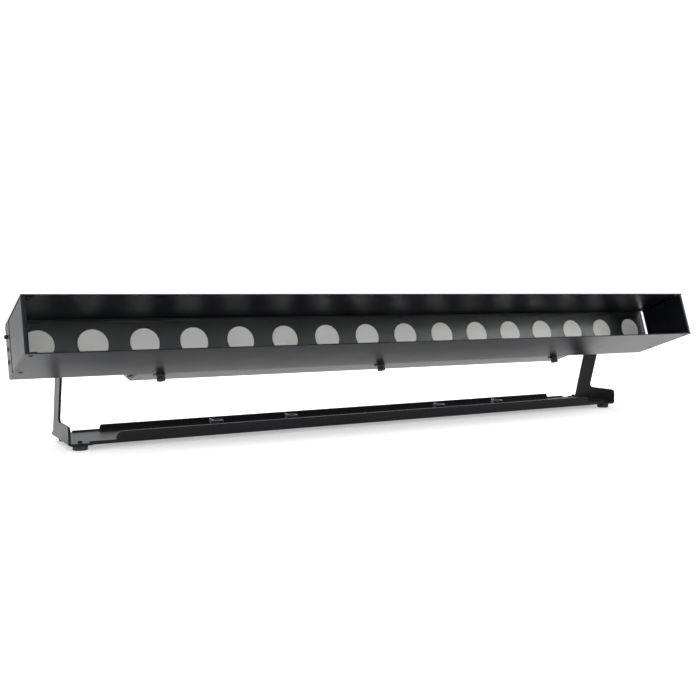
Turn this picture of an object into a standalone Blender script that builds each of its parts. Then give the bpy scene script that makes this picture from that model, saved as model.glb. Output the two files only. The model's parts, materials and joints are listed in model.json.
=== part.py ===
# Linear floodlight with a deep glare hood, standing on a bent sheet yoke.
# The lamp head tilts on two studs at the tops of the yoke's arms.
# Metres, +Z up. Origin: centre of the yoke's underside. X runs along the lamp.

import math

import bmesh
import bpy
from mathutils import Matrix, Vector

for old in list(bpy.data.objects):
    bpy.data.objects.remove(old, do_unlink=True)

# Driving sizes of the optics and of the head
clearance = 0.0003
lens_count = 16
lens_pitch = 0.0625
lens_radius = 0.0180
head_length = lens_count * lens_pitch
head_half = head_length / 2
tilt_at_rest = math.radians(18.6)
axis_height = 0.1025

# Glare hood, with depths measured back from its front rim
hood_sheet = 0.0014
hood_half_height = 0.0330
flap_depth = 0.1120
module_overlap = 0.0235
module_front = flap_depth - module_overlap
panel_gap = 0.0045
side_panel_depth = module_front - panel_gap
tab_width = 0.0130
rivet_inset = 0.0070
front_rivet_depth = 0.0090
rear_rivet_inset = 0.0040
rivet_depths = (front_rivet_depth, side_panel_depth - rear_rivet_inset)
rivet_shank = 0.0016
rivet_head = 0.0028
rivet_head_height = 0.0013
ear_half_width = 0.0080
ear_reach = 0.0150

# Extruded LED housing, and the tilt axis behind it
module_depth = 0.0260
module_rear = module_front + module_depth
axis_offset = 0.0298
axis_setback = module_rear + axis_offset
module_wall = 0.0020
back_wall = 0.0026
cap_thickness = 0.0025
fin_count = 7
fin_pitch = 0.0080
fin_thickness = 0.0020
fin_length = 0.0100
module_half_height = hood_half_height - hood_sheet - clearance
cap_outer = head_half
housing_half = cap_outer - cap_thickness - clearance
fin_tip = module_rear + fin_length

# Screws of the end caps, as (rise, height of the head). The top one is a clamping screw that stands proud.
cap_screw_setback = 0.0160
cap_screw_depth = module_front + cap_screw_setback
cap_screws = ((0.0160, 0.0036), (0.0010, 0.0009), (-0.0140, 0.0009))
cap_screw_head = 0.0025

# Stack behind the front window
glass_step = 0.0003
glass_thickness = 0.0020
gasket_thickness = 0.0008
gasket_width = 0.0030
mask_thickness = 0.0008
lens_lift = 0.0016
lens_rim = 0.0020
lens_neck = 0.0055
chip_size = 0.0070
chip_thickness = 0.0014
board_thickness = 0.0016
board_half_height = 0.0210
board_margin = 0.0110

# Driver housing behind the LED housing
cover_half = 0.3500
cover_sheet = 0.0015
cover_flat_depth = 0.0375
cover_flat_end = module_rear + cover_flat_depth
cover_slope_depth = 0.0260
cover_rear = cover_flat_end + cover_slope_depth
cover_rear_half = 0.0180
post_radius = 0.0040
post_inset = 0.0225

# Thumbscrews of the hood, three along its lower edge
knob_inset = 0.0300
knob_span = cover_half - knob_inset
knob_places = (-knob_span, 0.0, knob_span)
knob_setback = 0.0085
knob_collar = 0.0062
knob_grip = 0.0055
knob_height = 0.0075
knob_shank = 0.0022
knob_reach = 0.0065
bush_radius = 0.0036
bush_height = 0.0048

# Sockets on the ends of the driver housing
socket_rise = 0.0140
socket_setback = 0.0180
flange_half_width = 0.0120
flange_half_depth = 0.0145
flange_thickness = 0.0025
barrel_radius = 0.0110
barrel_length = 0.0160
cavity_radius = 0.0090
cavity_depth = 0.0120
pin_circle = 0.0048
pin_radius = 0.0011
pin_length = 0.0060
insert_hole = 0.0014
socket_screw_rise = 0.0012
socket_screw_head = 0.0023
socket_screw_inset = 0.0028

# Control panel on the rear of the driver housing
display_centre = -0.0300
display_half_width = 0.0250
display_half_height = 0.0100
display_thickness = 0.0020
screen_inset = 0.0015
button_places = (0.0140, 0.0300, 0.0460, 0.0620)
button_radius = 0.0040
button_collar = 0.0052
button_collar_thickness = 0.0012
button_proud = 0.0020
button_travel = 0.0010
switch_height = 0.0030
switch_half = 0.0030
panel_board_half_height = 0.0140
panel_board_ends = (-0.0660, 0.0740)
spacer_radius = 0.0025
spacer_inset = 0.0040
post_gap = 0.0125
post_places = (
    post_inset - cover_half, panel_board_ends[0] - post_gap,
    panel_board_ends[1] + post_gap, cover_half - post_inset,
)

# Electronics inside the driver housing
electronics_inset = 0.0350
supply_length = 0.2150
supply_half_height = 0.0230
supply_depth = 0.0300
driver_length = 0.2150
driver_half_height = 0.0230
supply_ends = (electronics_inset - cover_half, electronics_inset - cover_half + supply_length)
driver_ends = (cover_half - electronics_inset - driver_length, cover_half - electronics_inset)
inductor_count = 8
inductor_pitch = 0.0250
inductor_radius = 0.0055
inductor_height = 0.0200
coil_height = 0.0120
harness_radius = 0.0025
harness_bow = 0.0040
harness_rise = 0.0120

# Yoke, bent from one sheet. The insets are measured in from the arms' outer faces.
arm_inset = 0.0627
arm_outer = head_half - arm_inset
yoke_sheet = 0.0030
arm_inner = arm_outer - yoke_sheet
base_half_depth = 0.0490
bend_radius = 0.0040
front_flange_top = 0.0145
rear_flange_top = 0.0105
front_flange_inset = 0.0573
rear_flange_inset = 0.0603
flange_corner = 0.0080
lip_inset = 0.0253
lip_top = 0.0050
boot_top = 0.0230
boot_corner = 0.0060
boot_fillet = 0.0040
arm_front_root = 0.0080
arm_rear_root = 0.0410
arm_top_radius = 0.0140
fuse_inset = 0.00002

# Feet
foot_radius = 0.0090
foot_height = 0.0060
foot_inset_x = 0.0160
foot_inset_y = 0.0100
foot_screw_radius = 0.0016
foot_screw_head = 0.0026
foot_screw_rise = 0.0018

# Receptacles for a clamp plate with quarter-turn pins, in two pairs
clamp_pair_offset = 0.1790
clamp_spacing = 0.1100
clamp_hole = 0.0065
receptacle_half_length = 0.0180
receptacle_half_width = 0.0100
receptacle_sheet = 0.0015
receptacle_cup = 0.0090
receptacle_bore = 0.0048
receptacle_top = 0.0128
receptacle_rivet_offset = 0.0142
receptacle_rivet = 0.0014
receptacle_rivet_head = 0.0024
receptacle_rivet_rise = 0.0010
spring_sheet = 0.0008
spring_half_width = 0.0028
spring_top = 0.0150

# Tilt pivots
stud_radius = 0.0040
stud_hole = 0.0043
washer_radius = 0.0140
washer_thickness = 0.0014
lug_sheet = 0.0040
lug_radius = 0.0140
lug_foot_width = 0.0340
lug_half_height = 0.0200
lug_screw_offsets = (0.0120, 0.0260)
lug_screw_radius = 0.0020
lug_screw_head = 0.0035
lug_screw_rise = 0.0024
lug_screw_length = 0.0100
tilt_knob_radius = 0.0160
tilt_knob_length = 0.0210
tilt_knob_lobes = 6
tilt_knob_dip = 0.0030
stud_seat = 0.0150
nut_radius = 0.0075
nut_thickness = 0.0052


def make_material(name, colour, roughness, metallic=0.0):
    made = bpy.data.materials.new(name)
    made.use_nodes = True
    shader = made.node_tree.nodes["Principled BSDF"]
    shader.inputs["Base Color"].default_value = (*colour, 1.0)
    shader.inputs["Roughness"].default_value = roughness
    shader.inputs["Metallic"].default_value = metallic
    return made


black_paint = make_material("black_powder_coat", (0.020, 0.020, 0.022), 0.38)
black_anodised = make_material("black_anodised_aluminium", (0.030, 0.030, 0.032), 0.40, 0.6)
clear_glass = make_material("front_glass", (0.30, 0.31, 0.32), 0.05)
mask_black = make_material("matt_black_mask", (0.035, 0.035, 0.037), 0.55)
frosted_lens = make_material("frosted_lens", (0.42, 0.42, 0.41), 0.45)
rubber_black = make_material("black_rubber", (0.015, 0.015, 0.015), 0.80)
plastic_black = make_material("black_moulded_plastic", (0.018, 0.018, 0.019), 0.50)
steel_black = make_material("blackened_steel", (0.030, 0.030, 0.032), 0.35, 0.9)
steel_zinc = make_material("zinc_plated_steel", (0.60, 0.60, 0.58), 0.30, 1.0)
board_white = make_material("white_circuit_board", (0.80, 0.80, 0.78), 0.50)
board_green = make_material("green_circuit_board", (0.020, 0.16, 0.060), 0.45)
chip_yellow = make_material("led_chip", (0.80, 0.62, 0.15), 0.40)
case_silver = make_material("power_supply_case", (0.60, 0.61, 0.62), 0.35, 1.0)
screen_dark = make_material("display_window", (0.010, 0.012, 0.015), 0.08)
fibre_washer = make_material("fibre_washer", (0.10, 0.09, 0.08), 0.75)


def empty_at(name, location, turn=0.0):
    marker = bpy.data.objects.new(name, None)
    marker.location = location
    marker.rotation_euler = (turn, 0.0, 0.0)
    bpy.context.scene.collection.objects.link(marker)
    return marker


head_axis = empty_at("head_axis", (0.0, 0.0, axis_height), -tilt_at_rest)


def finish(name, shape, material, parent=None, smooth=False):
    # Turns a bmesh into a named object with outward faces.
    bmesh.ops.remove_doubles(shape, verts=shape.verts, dist=1e-6)
    bmesh.ops.recalc_face_normals(shape, faces=shape.faces)
    mesh = bpy.data.meshes.new(name)
    shape.to_mesh(mesh)
    shape.free()
    if material is not None:
        mesh.materials.append(material)
    if smooth:
        mesh.shade_smooth()
        mesh.set_sharp_from_angle(angle=math.radians(40))
    made = bpy.data.objects.new(name, mesh)
    bpy.context.scene.collection.objects.link(made)
    made.parent = parent
    return made


def add_prism(shape, outline, low, high, axis="X"):
    # A straight prism: outline is (y, z) along X, (x, z) along Y, or (x, y) along Z.
    place = {
        "X": lambda p, h: (h, p[0], p[1]),
        "Y": lambda p, h: (p[0], h, p[1]),
        "Z": lambda p, h: (p[0], p[1], h),
    }[axis]
    loop = [shape.verts.new(place(p, low)) for p in outline]
    face = shape.faces.new(loop)
    made = bmesh.ops.extrude_face_region(shape, geom=[face])
    far = [v for v in made["geom"] if isinstance(v, bmesh.types.BMVert)]
    shift = Vector(place((0, 0), high)) - Vector(place((0, 0), low))
    bmesh.ops.translate(shape, verts=far, vec=shift)
    return shape


def rectangle(low_a, high_a, low_b, high_b):
    return [(low_a, low_b), (high_a, low_b), (high_a, high_b), (low_a, high_b)]


def arc(centre, radius, start, end, steps):
    # Points along an arc, angles in degrees, both ends included.
    points = []
    for i in range(steps + 1):
        angle = math.radians(start + (end - start) * i / steps)
        points.append((centre[0] + radius * math.cos(angle), centre[1] + radius * math.sin(angle)))
    return points


AXES = {
    "X": Matrix.Rotation(math.radians(90), 4, "Y"),
    "-X": Matrix.Rotation(math.radians(-90), 4, "Y"),
    "Y": Matrix.Rotation(math.radians(-90), 4, "X"),
    "-Y": Matrix.Rotation(math.radians(90), 4, "X"),
    "Z": Matrix.Identity(4),
    "-Z": Matrix.Rotation(math.radians(180), 4, "X"),
}


def add_turned(shape, profile, centre, axis="Z", sides=16):
    # Spins (radius, height) points round an axis through centre. It closes on the axis or on itself.
    on_axis = profile[0][0] == 0.0
    ends = profile if on_axis else profile + [profile[0]]
    verts = [shape.verts.new((r, 0.0, h)) for r, h in ends]
    edges = [shape.edges.new(pair) for pair in zip(verts, verts[1:])]
    made = bmesh.ops.spin(
        shape, geom=verts + edges, cent=(0, 0, 0), axis=(0, 0, 1), angle=math.tau, steps=sides, use_merge=True
    )
    new = set(verts)
    for item in made["geom_last"]:
        if isinstance(item, bmesh.types.BMVert):
            new.add(item)
    linked = set(new)
    front = list(new)
    while front:
        step = front.pop()
        for edge in step.link_edges:
            other = edge.other_vert(step)
            if other not in linked:
                linked.add(other)
                front.append(other)
    moved = Matrix.Translation(centre) @ AXES[axis]
    bmesh.ops.transform(shape, matrix=moved, verts=list(linked))
    return shape


def disc(radius, low, high):
    return [(0.0, low), (radius, low), (radius, high), (0.0, high)]


def ring(inner, outer, low, high):
    return [(inner, low), (outer, low), (outer, high), (inner, high)]


def helper(name, shape, parent):
    # A hidden shape that a Boolean reads.
    made = finish(name, shape, None, parent)
    made.hide_render = True
    made.display_type = "WIRE"
    return made


def combine(target, shape, operation):
    other = helper(f"{target.name}_{operation.lower()}_{len(target.modifiers)}", shape, target.parent)
    modifier = target.modifiers.new(operation.lower(), "BOOLEAN")
    modifier.operation = operation
    modifier.object = other


def behind(depth):
    # The head's own Y of a depth measured back from the hood's front rim.
    return depth - axis_setback


def screw(shape, centre, axis, shank, head, length, head_height, sides=8):
    # The head stands on centre along axis, and the shank goes the other way.
    profile = [(0.0, -length), (shank, -length), (shank, 0.0), (head, 0.0), (head, head_height)]
    add_turned(shape, profile + [(0.0, head_height)], centre, axis, sides)


def lens_places():
    first = -(lens_count - 1) / 2 * lens_pitch
    return [first + i * lens_pitch for i in range(lens_count)]


def rivet_places():
    x = head_half - rivet_inset
    return [(side * x, behind(depth)) for side in (-1, 1) for depth in rivet_depths]


hood_inner = hood_half_height - hood_sheet
tab_outer = hood_inner - clearance
tab_inner = tab_outer - hood_sheet
knob_depth = flap_depth + knob_setback


def rivet_profile(tail, top):
    # A rivet pressed in a tab: its tail below, its shank through the flap, and its head above.
    return [
        (0.0, tail - rivet_head_height), (rivet_head * 0.8, tail - rivet_head_height),
        (rivet_head, tail + hood_sheet / 4), (rivet_shank, tail + hood_sheet / 2), (rivet_shank, top),
        (rivet_head, top), (rivet_head * 0.7, top + rivet_head_height), (0.0, top + rivet_head_height),
    ]


def make_hood():
    ears = [(-head_half, behind(0)), (head_half, behind(0)), (head_half, behind(flap_depth))]
    for x in sorted(knob_places, reverse=True):
        ears += [
            (x + ear_half_width, behind(flap_depth)), (x + ear_half_width, behind(flap_depth + ear_reach)),
            (x - ear_half_width, behind(flap_depth + ear_reach)), (x - ear_half_width, behind(flap_depth)),
        ]
    ears.append((-head_half, behind(flap_depth)))
    plain = rectangle(-head_half, head_half, behind(0), behind(flap_depth))
    for name, side, outline in (("hood_top_flap", 1, plain), ("hood_bottom_flap", -1, ears)):
        low, high = sorted((side * hood_inner, side * hood_half_height))
        flap = finish(name, add_prism(bmesh.new(), outline, low, high, "Z"), black_paint, head_axis)
        holes = bmesh.new()
        for x, y in rivet_places():
            hole = disc(rivet_shank + clearance, low - hood_sheet, high + hood_sheet)
            add_turned(holes, hole, (x, y, 0), "Z", 8)
        if side < 0:
            for x in knob_places:
                hole = disc(knob_shank + clearance, low - hood_sheet, high + hood_sheet)
                add_turned(holes, hole, (x, behind(knob_depth), 0), "Z", 10)
        combine(flap, holes, "DIFFERENCE")
    for name, side in (("hood_side_left", -1), ("hood_side_right", 1)):
        outer = side * head_half
        wall = side * (head_half - hood_sheet)
        tip = side * (head_half - tab_width)
        outline = [
            (outer, -tab_outer), (tip, -tab_outer), (tip, -tab_inner), (wall, -tab_inner),
            (wall, tab_inner), (tip, tab_inner), (tip, tab_outer), (outer, tab_outer),
        ]
        shape = add_prism(bmesh.new(), outline, behind(0), behind(side_panel_depth), "Y")
        panel = finish(name, shape, black_paint, head_axis)
        rivets = bmesh.new()
        for x, y in rivet_places():
            if x * side > 0:
                for axis in ("Z", "-Z"):
                    profile = rivet_profile(tab_inner, hood_half_height + clearance)
                    add_turned(rivets, profile, (x, y, 0), axis, 8)
        combine(panel, rivets, "UNION")


def make_led_housing():
    front, rear, tip = behind(module_front), behind(module_rear), behind(fin_tip)
    height = module_half_height
    inside = height - module_wall
    wall = behind(module_rear - back_wall)
    outline = [(front, -height), (rear, -height)]
    for i in range(fin_count):
        centre = (i - (fin_count - 1) / 2) * fin_pitch
        low, high = centre - fin_thickness / 2, centre + fin_thickness / 2
        outline += [(rear, low), (tip, low), (tip, high), (rear, high)]
    outline += [(rear, height), (front, height), (front, inside), (wall, inside), (wall, -inside)]
    outline.append((front, -inside))
    shape = add_prism(bmesh.new(), outline, -housing_half, housing_half)
    finish("led_housing", shape, black_anodised, head_axis)


def make_end_caps():
    for name, side, axis in (("end_cap_left", -1, "-X"), ("end_cap_right", 1, "X")):
        low, high = sorted((side * (cap_outer - cap_thickness), side * cap_outer))
        near, far = behind(module_front), behind(module_rear)
        outline = rectangle(near, far, -module_half_height, module_half_height)
        cap = finish(name, add_prism(bmesh.new(), outline, low, high), black_paint, head_axis)
        heads = bmesh.new()
        for rise, height in cap_screws:
            head = disc(cap_screw_head, -cap_thickness / 2, height)
            add_turned(heads, head, (side * cap_outer, behind(cap_screw_depth), rise), axis, 8)
        combine(cap, heads, "UNION")


glass_front = module_front + glass_step
gasket_front = glass_front + glass_thickness + clearance
mask_front = gasket_front + gasket_thickness + clearance
board_rear = module_rear - back_wall - clearance
board_front = board_rear - board_thickness
chip_front = board_front - chip_thickness
lens_rear = chip_front - clearance
window_half_height = module_half_height - module_wall - clearance


def make_optics():
    near, far = behind(glass_front), behind(glass_front + glass_thickness)
    window = rectangle(near, far, -window_half_height, window_half_height)
    finish("front_glass", add_prism(bmesh.new(), window, -housing_half, housing_half), clear_glass, head_axis)
    outer = rectangle(-housing_half, housing_half, -window_half_height, window_half_height)
    low, high = behind(gasket_front), behind(gasket_front + gasket_thickness)
    gasket = finish("glass_gasket", add_prism(bmesh.new(), outer, low, high, "Y"), rubber_black, head_axis)
    inner = rectangle(
        -housing_half + gasket_width, housing_half - gasket_width,
        -window_half_height + gasket_width, window_half_height - gasket_width,
    )
    inside = add_prism(bmesh.new(), inner, low - gasket_thickness, high + gasket_thickness, "Y")
    combine(gasket, inside, "DIFFERENCE")
    low, high = behind(mask_front), behind(mask_front + mask_thickness)
    mask = finish("lens_mask", add_prism(bmesh.new(), outer, low, high, "Y"), mask_black, head_axis)
    holes = bmesh.new()
    for x in lens_places():
        hole = disc(lens_radius + clearance, low - mask_thickness, high + mask_thickness)
        add_turned(holes, hole, (x, 0, lens_lift), "Y", 20)
    combine(mask, holes, "DIFFERENCE")
    rim = mask_front + lens_rim
    profile = [
        (0.0, behind(mask_front)), (lens_radius, behind(mask_front)), (lens_radius, behind(rim)),
        (lens_radius * 0.8, behind((rim + lens_rear) / 2)), (lens_neck, behind(lens_rear)),
        (0.0, behind(lens_rear)),
    ]
    chips = bmesh.new()
    for i, x in enumerate(lens_places()):
        shape = add_turned(bmesh.new(), profile, (x, 0, lens_lift), "Y", 20)
        finish(f"lens_{i + 1:02d}", shape, frosted_lens, head_axis, smooth=True)
        half = chip_size / 2
        seat = behind(board_rear - board_thickness / 2)
        chip = rectangle(behind(chip_front), seat, lens_lift - half, lens_lift + half)
        add_prism(chips, chip, x - half, x + half)
    strip = rectangle(
        behind(board_front), behind(board_rear), lens_lift - board_half_height, lens_lift + board_half_height
    )
    end = housing_half - board_margin
    board = finish("led_board", add_prism(bmesh.new(), strip, -end, end), board_white, head_axis)
    combine(board, chips, "UNION")


cover_front = module_rear + clearance
inner_front = fin_tip + clearance
wall_inner = cover_rear - cover_sheet


def cover_path():
    tall = module_half_height
    half = [(cover_front, tall), (cover_flat_end, tall), (cover_rear, cover_rear_half)]
    return [(behind(d), -s) for d, s in half] + [(behind(d), s) for d, s in reversed(half)]


def inward(path, gap):
    # The path moved sideways by gap, towards the inside of the housing.
    normals = []
    for (ya, za), (yb, zb) in zip(path, path[1:]):
        length = math.hypot(yb - ya, zb - za)
        normals.append((-(zb - za) / length, (yb - ya) / length))
    moved = []
    for i, (y, z) in enumerate(path):
        before = normals[max(i - 1, 0)]
        after = normals[min(i, len(normals) - 1)]
        share = gap / (1 + before[0] * after[0] + before[1] * after[1])
        moved.append((y + (before[0] + after[0]) * share, z + (before[1] + after[1]) * share))
    return moved


def make_cover():
    path = cover_path()
    shape = add_prism(bmesh.new(), path, -cover_half, cover_half)
    cover = finish("driver_cover", shape, black_paint, head_axis)
    inside = inward(path, cover_sheet)
    inside[0] = (inside[0][0] - cover_sheet, inside[0][1])
    inside[-1] = (inside[-1][0] - cover_sheet, inside[-1][1])
    inner_half = cover_half - cover_sheet
    combine(cover, add_prism(bmesh.new(), inside, -inner_half, inner_half), "DIFFERENCE")
    low, high = inside[0][1] + clearance, inside[-1][1] - clearance
    fins = rectangle(behind(cover_front) - cover_sheet, behind(inner_front), low, high)
    beyond = cover_half + cover_sheet
    combine(cover, add_prism(bmesh.new(), fins, -beyond, beyond), "DIFFERENCE")
    fixed = bmesh.new()
    rear = behind(cover_rear)
    for x in post_places:
        add_turned(fixed, disc(post_radius, behind(inner_front), rear - cover_sheet / 2), (x, 0, 0), "Y", 6)
    for x in knob_places:
        bush = disc(bush_radius, cover_sheet / 2 - module_half_height, bush_height - module_half_height)
        add_turned(fixed, bush, (x, behind(knob_depth), 0), "Z", 8)
    combine(cover, fixed, "UNION")
    holes = bmesh.new()
    through = (-2 * cover_sheet, cover_sheet)
    for x in button_places:
        add_turned(holes, disc(button_radius + clearance, *through), (x, rear, 0), "Y", 12)
    opening = rectangle(
        display_centre - display_half_width - clearance, display_centre + display_half_width + clearance,
        -display_half_height - clearance, display_half_height + clearance,
    )
    add_prism(holes, opening, rear - 2 * cover_sheet, rear + cover_sheet, "Y")
    for x in knob_places:
        bottom, top = -2 * cover_sheet - module_half_height, 2 * bush_height - module_half_height
        hole = disc(knob_shank + clearance, bottom, top)
        add_turned(holes, hole, (x, behind(knob_depth), 0), "Z", 8)
    for side, axis in ((-1, "-X"), (1, "X")):
        for rise in (-socket_rise, socket_rise):
            hole = disc(barrel_radius + clearance, *through)
            add_turned(holes, hole, (side * cover_half, behind(socket_depth), rise), axis, 12)
    combine(cover, holes, "DIFFERENCE")


socket_depth = inner_front + socket_setback
socket_face = cover_half + clearance + flange_thickness


def socket_screw_places(rise):
    y, z = flange_half_depth - socket_screw_inset, flange_half_width - socket_screw_inset
    middle = behind(socket_depth)
    return [(middle - y, rise + z), (middle + y, rise - z)]


def pin_places(rise, count):
    turns = [math.tau * i / 5 for i in range(count)]
    middle = behind(socket_depth)
    return [(middle + pin_circle * math.cos(t), rise + pin_circle * math.sin(t)) for t in turns]


def make_socket(name, side, rise, count):
    # A round panel socket: an open barrel with count pins, or with none a flush insert with five holes.
    axis = "X" if side > 0 else "-X"
    middle = behind(socket_depth)
    deep, tall = flange_half_depth, flange_half_width
    plate = rectangle(middle - deep, middle + deep, rise - tall, rise + tall)
    low, high = sorted((side * (cover_half + clearance), side * socket_face))
    body = finish(name, add_prism(bmesh.new(), plate, low, high), plastic_black, head_axis)
    centre = (side * socket_face, middle, rise)
    barrel = disc(barrel_radius, -flange_thickness - barrel_length, -flange_thickness / 2)
    combine(body, add_turned(bmesh.new(), barrel, centre, axis, 12), "UNION")
    cut = bmesh.new()
    if count:
        add_turned(cut, disc(cavity_radius, -cavity_depth, flange_thickness), centre, axis, 12)
    else:
        for y, z in pin_places(rise, 5):
            add_turned(cut, disc(insert_hole, -cavity_depth, flange_thickness), (centre[0], y, z), axis, 6)
    combine(body, cut, "DIFFERENCE")
    fixed = bmesh.new()
    for y, z in pin_places(rise, count):
        pin = disc(pin_radius, -cavity_depth - pin_radius, pin_length - cavity_depth)
        add_turned(fixed, pin, (centre[0], y, z), axis, 6)
    for y, z in socket_screw_places(rise):
        head = disc(socket_screw_head, -flange_thickness / 2, socket_screw_rise)
        add_turned(fixed, head, (centre[0], y, z), axis, 6)
    combine(body, fixed, "UNION")


def make_sockets():
    make_socket("power_in_socket", -1, -socket_rise, 3)
    make_socket("data_in_socket", -1, socket_rise, 5)
    make_socket("power_out_socket", 1, -socket_rise, 3)
    make_socket("data_out_socket", 1, socket_rise, 0)


button_inner = wall_inner - clearance - button_collar_thickness
switch_rear = button_inner - button_travel - clearance
panel_board_rear = switch_rear - switch_height - clearance


def make_control_panel():
    rear = behind(cover_rear)
    window = rectangle(
        display_centre - display_half_width, display_centre + display_half_width,
        -display_half_height, display_half_height,
    )
    shape = add_prism(bmesh.new(), window, rear - display_thickness, rear, "Y")
    finish("display_window", shape, screen_dark, head_axis)
    wide, tall = display_half_width - screen_inset, display_half_height - screen_inset
    screen = rectangle(display_centre - wide, display_centre + wide, -tall, tall)
    seat = behind(panel_board_rear - board_thickness / 2)
    fixed = bmesh.new()
    add_prism(fixed, screen, seat, rear - display_thickness - clearance, "Y")
    proud = cover_rear + button_proud
    edge = button_proud / 4
    for i, x in enumerate(button_places):
        profile = [
            (0.0, button_inner), (button_collar, button_inner), (button_collar, wall_inner - clearance),
            (button_radius, wall_inner - clearance), (button_radius, proud - edge),
            (button_radius - edge, proud), (0.0, proud),
        ]
        shape = add_turned(bmesh.new(), [(r, behind(h)) for r, h in profile], (x, 0, 0), "Y", 12)
        finish(f"menu_button_{i + 1}", shape, plastic_black, head_axis, smooth=True)
        body = rectangle(x - switch_half, x + switch_half, -switch_half, switch_half)
        add_prism(fixed, body, seat, behind(switch_rear), "Y")
    start, end = panel_board_ends
    board = rectangle(start, end, -panel_board_half_height, panel_board_half_height)
    near, far = behind(panel_board_rear - board_thickness), behind(panel_board_rear)
    shape = add_prism(bmesh.new(), board, near, far, "Y")
    for x in (start + spacer_inset, end - spacer_inset):
        for z in (-1, 1):
            rise = z * (panel_board_half_height - spacer_inset)
            add_turned(fixed, disc(spacer_radius, seat, behind(wall_inner - clearance)), (x, 0, rise), "Y", 6)
    board = finish("control_board", shape, board_green, head_axis)
    combine(board, fixed, "UNION")


def make_electronics():
    seat = behind(inner_front)
    start, end = supply_ends
    case = rectangle(seat, seat + supply_depth, -supply_half_height, supply_half_height)
    finish("power_supply", add_prism(bmesh.new(), case, start, end), case_silver, head_axis)
    start, end = driver_ends
    board = rectangle(seat, seat + board_thickness, -driver_half_height, driver_half_height)
    shape = add_prism(bmesh.new(), board, start, end)
    driver = finish("driver_board", shape, board_green, head_axis)
    parts = bmesh.new()
    place = seat + board_thickness / 2
    middle = (start + end) / 2
    for i in range(inductor_count):
        x = middle + (i - (inductor_count - 1) / 2) * inductor_pitch
        rise = driver_half_height / 2
        add_turned(parts, disc(inductor_radius, place, place + inductor_height), (x, 0, rise), "Y", 8)
        coil = rectangle(place, place + coil_height, -rise - inductor_radius, -rise + inductor_radius)
        add_prism(parts, coil, x - inductor_radius, x + inductor_radius)
    combine(driver, parts, "UNION")
    run = bpy.data.curves.new("wiring_harness", "CURVE")
    run.dimensions = "3D"
    run.bevel_depth = harness_radius
    run.bevel_resolution = 1
    run.use_fill_caps = True
    spline = run.splines.new("POLY")
    begin, stop = supply_ends[1] + clearance, driver_ends[0] - clearance
    steps = 14
    spline.points.add(steps)
    for i, point in enumerate(spline.points):
        share = i / steps
        bow = math.sin(math.pi * share) ** 2
        y = seat + harness_radius + clearance + harness_bow * bow
        drop = share ** 2 * (3 - 2 * share)
        point.co = (begin + (stop - begin) * share, y, harness_rise * (1 - 2 * drop), 1.0)
    harness = bpy.data.objects.new("wiring_harness", run)
    harness.data.materials.append(rubber_black)
    harness.parent = head_axis
    bpy.context.scene.collection.objects.link(harness)


def make_hood_knobs():
    edge = knob_height / 10
    profile = [
        (0.0, -knob_height), (knob_grip - edge, -knob_height), (knob_grip, edge - knob_height),
        (knob_grip, -4 * edge), (knob_grip - edge, -3 * edge), (knob_collar, -2 * edge),
        (knob_collar, 0.0), (knob_shank, 0.0), (knob_shank, knob_reach), (0.0, knob_reach),
    ]
    for i, x in enumerate(knob_places):
        pivot = empty_at(f"hood_knob_axis_{i + 1}", (x, behind(knob_depth), -hood_half_height - clearance))
        pivot.parent = head_axis
        shape = add_turned(bmesh.new(), profile, (0, 0, 0), "Z", 14)
        finish(f"hood_knob_{i + 1}", shape, plastic_black, pivot, smooth=True)


lug_outer = arm_inner - washer_thickness - 2 * clearance
lug_inner = lug_outer - lug_sheet


def make_lugs():
    foot_low, foot_high = behind(inner_front), behind(inner_front + lug_sheet)
    for name, side, axis in (("pivot_lug_left", -1, "-X"), ("pivot_lug_right", 1, "X")):
        low, high = sorted((side * lug_inner, side * lug_outer))
        outline = [(foot_low, -lug_half_height), (foot_high, -lug_half_height)]
        outline += arc((0.0, 0.0), lug_radius, -90, 90, 8)
        outline += [(foot_high, lug_half_height), (foot_low, lug_half_height)]
        lug = finish(name, add_prism(bmesh.new(), outline, low, high), black_paint, head_axis)
        low, high = sorted((side * (lug_outer - lug_foot_width), side * (lug_outer - lug_sheet / 2)))
        tall = lug_half_height - fuse_inset
        foot = rectangle(foot_low + fuse_inset, foot_high - fuse_inset, -tall, tall)
        combine(lug, add_prism(bmesh.new(), foot, low, high), "UNION")
        nut = disc(nut_radius, -lug_sheet - nut_thickness, -lug_sheet / 2)
        fixed = add_turned(bmesh.new(), nut, (side * lug_outer, 0, 0), axis, 6)
        for offset in lug_screw_offsets:
            for rise in (-1.5 * fin_pitch, 1.5 * fin_pitch):
                place = (side * (lug_outer - offset), foot_high - 2 * fuse_inset, rise)
                screw(fixed, place, "Y", lug_screw_radius, lug_screw_head, lug_screw_length, lug_screw_rise)
        combine(lug, fixed, "UNION")
        hole = disc(stud_hole, -lug_sheet - 2 * nut_thickness, lug_sheet)
        combine(lug, add_turned(bmesh.new(), hole, (side * lug_outer, 0, 0), axis, 16), "DIFFERENCE")


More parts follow.
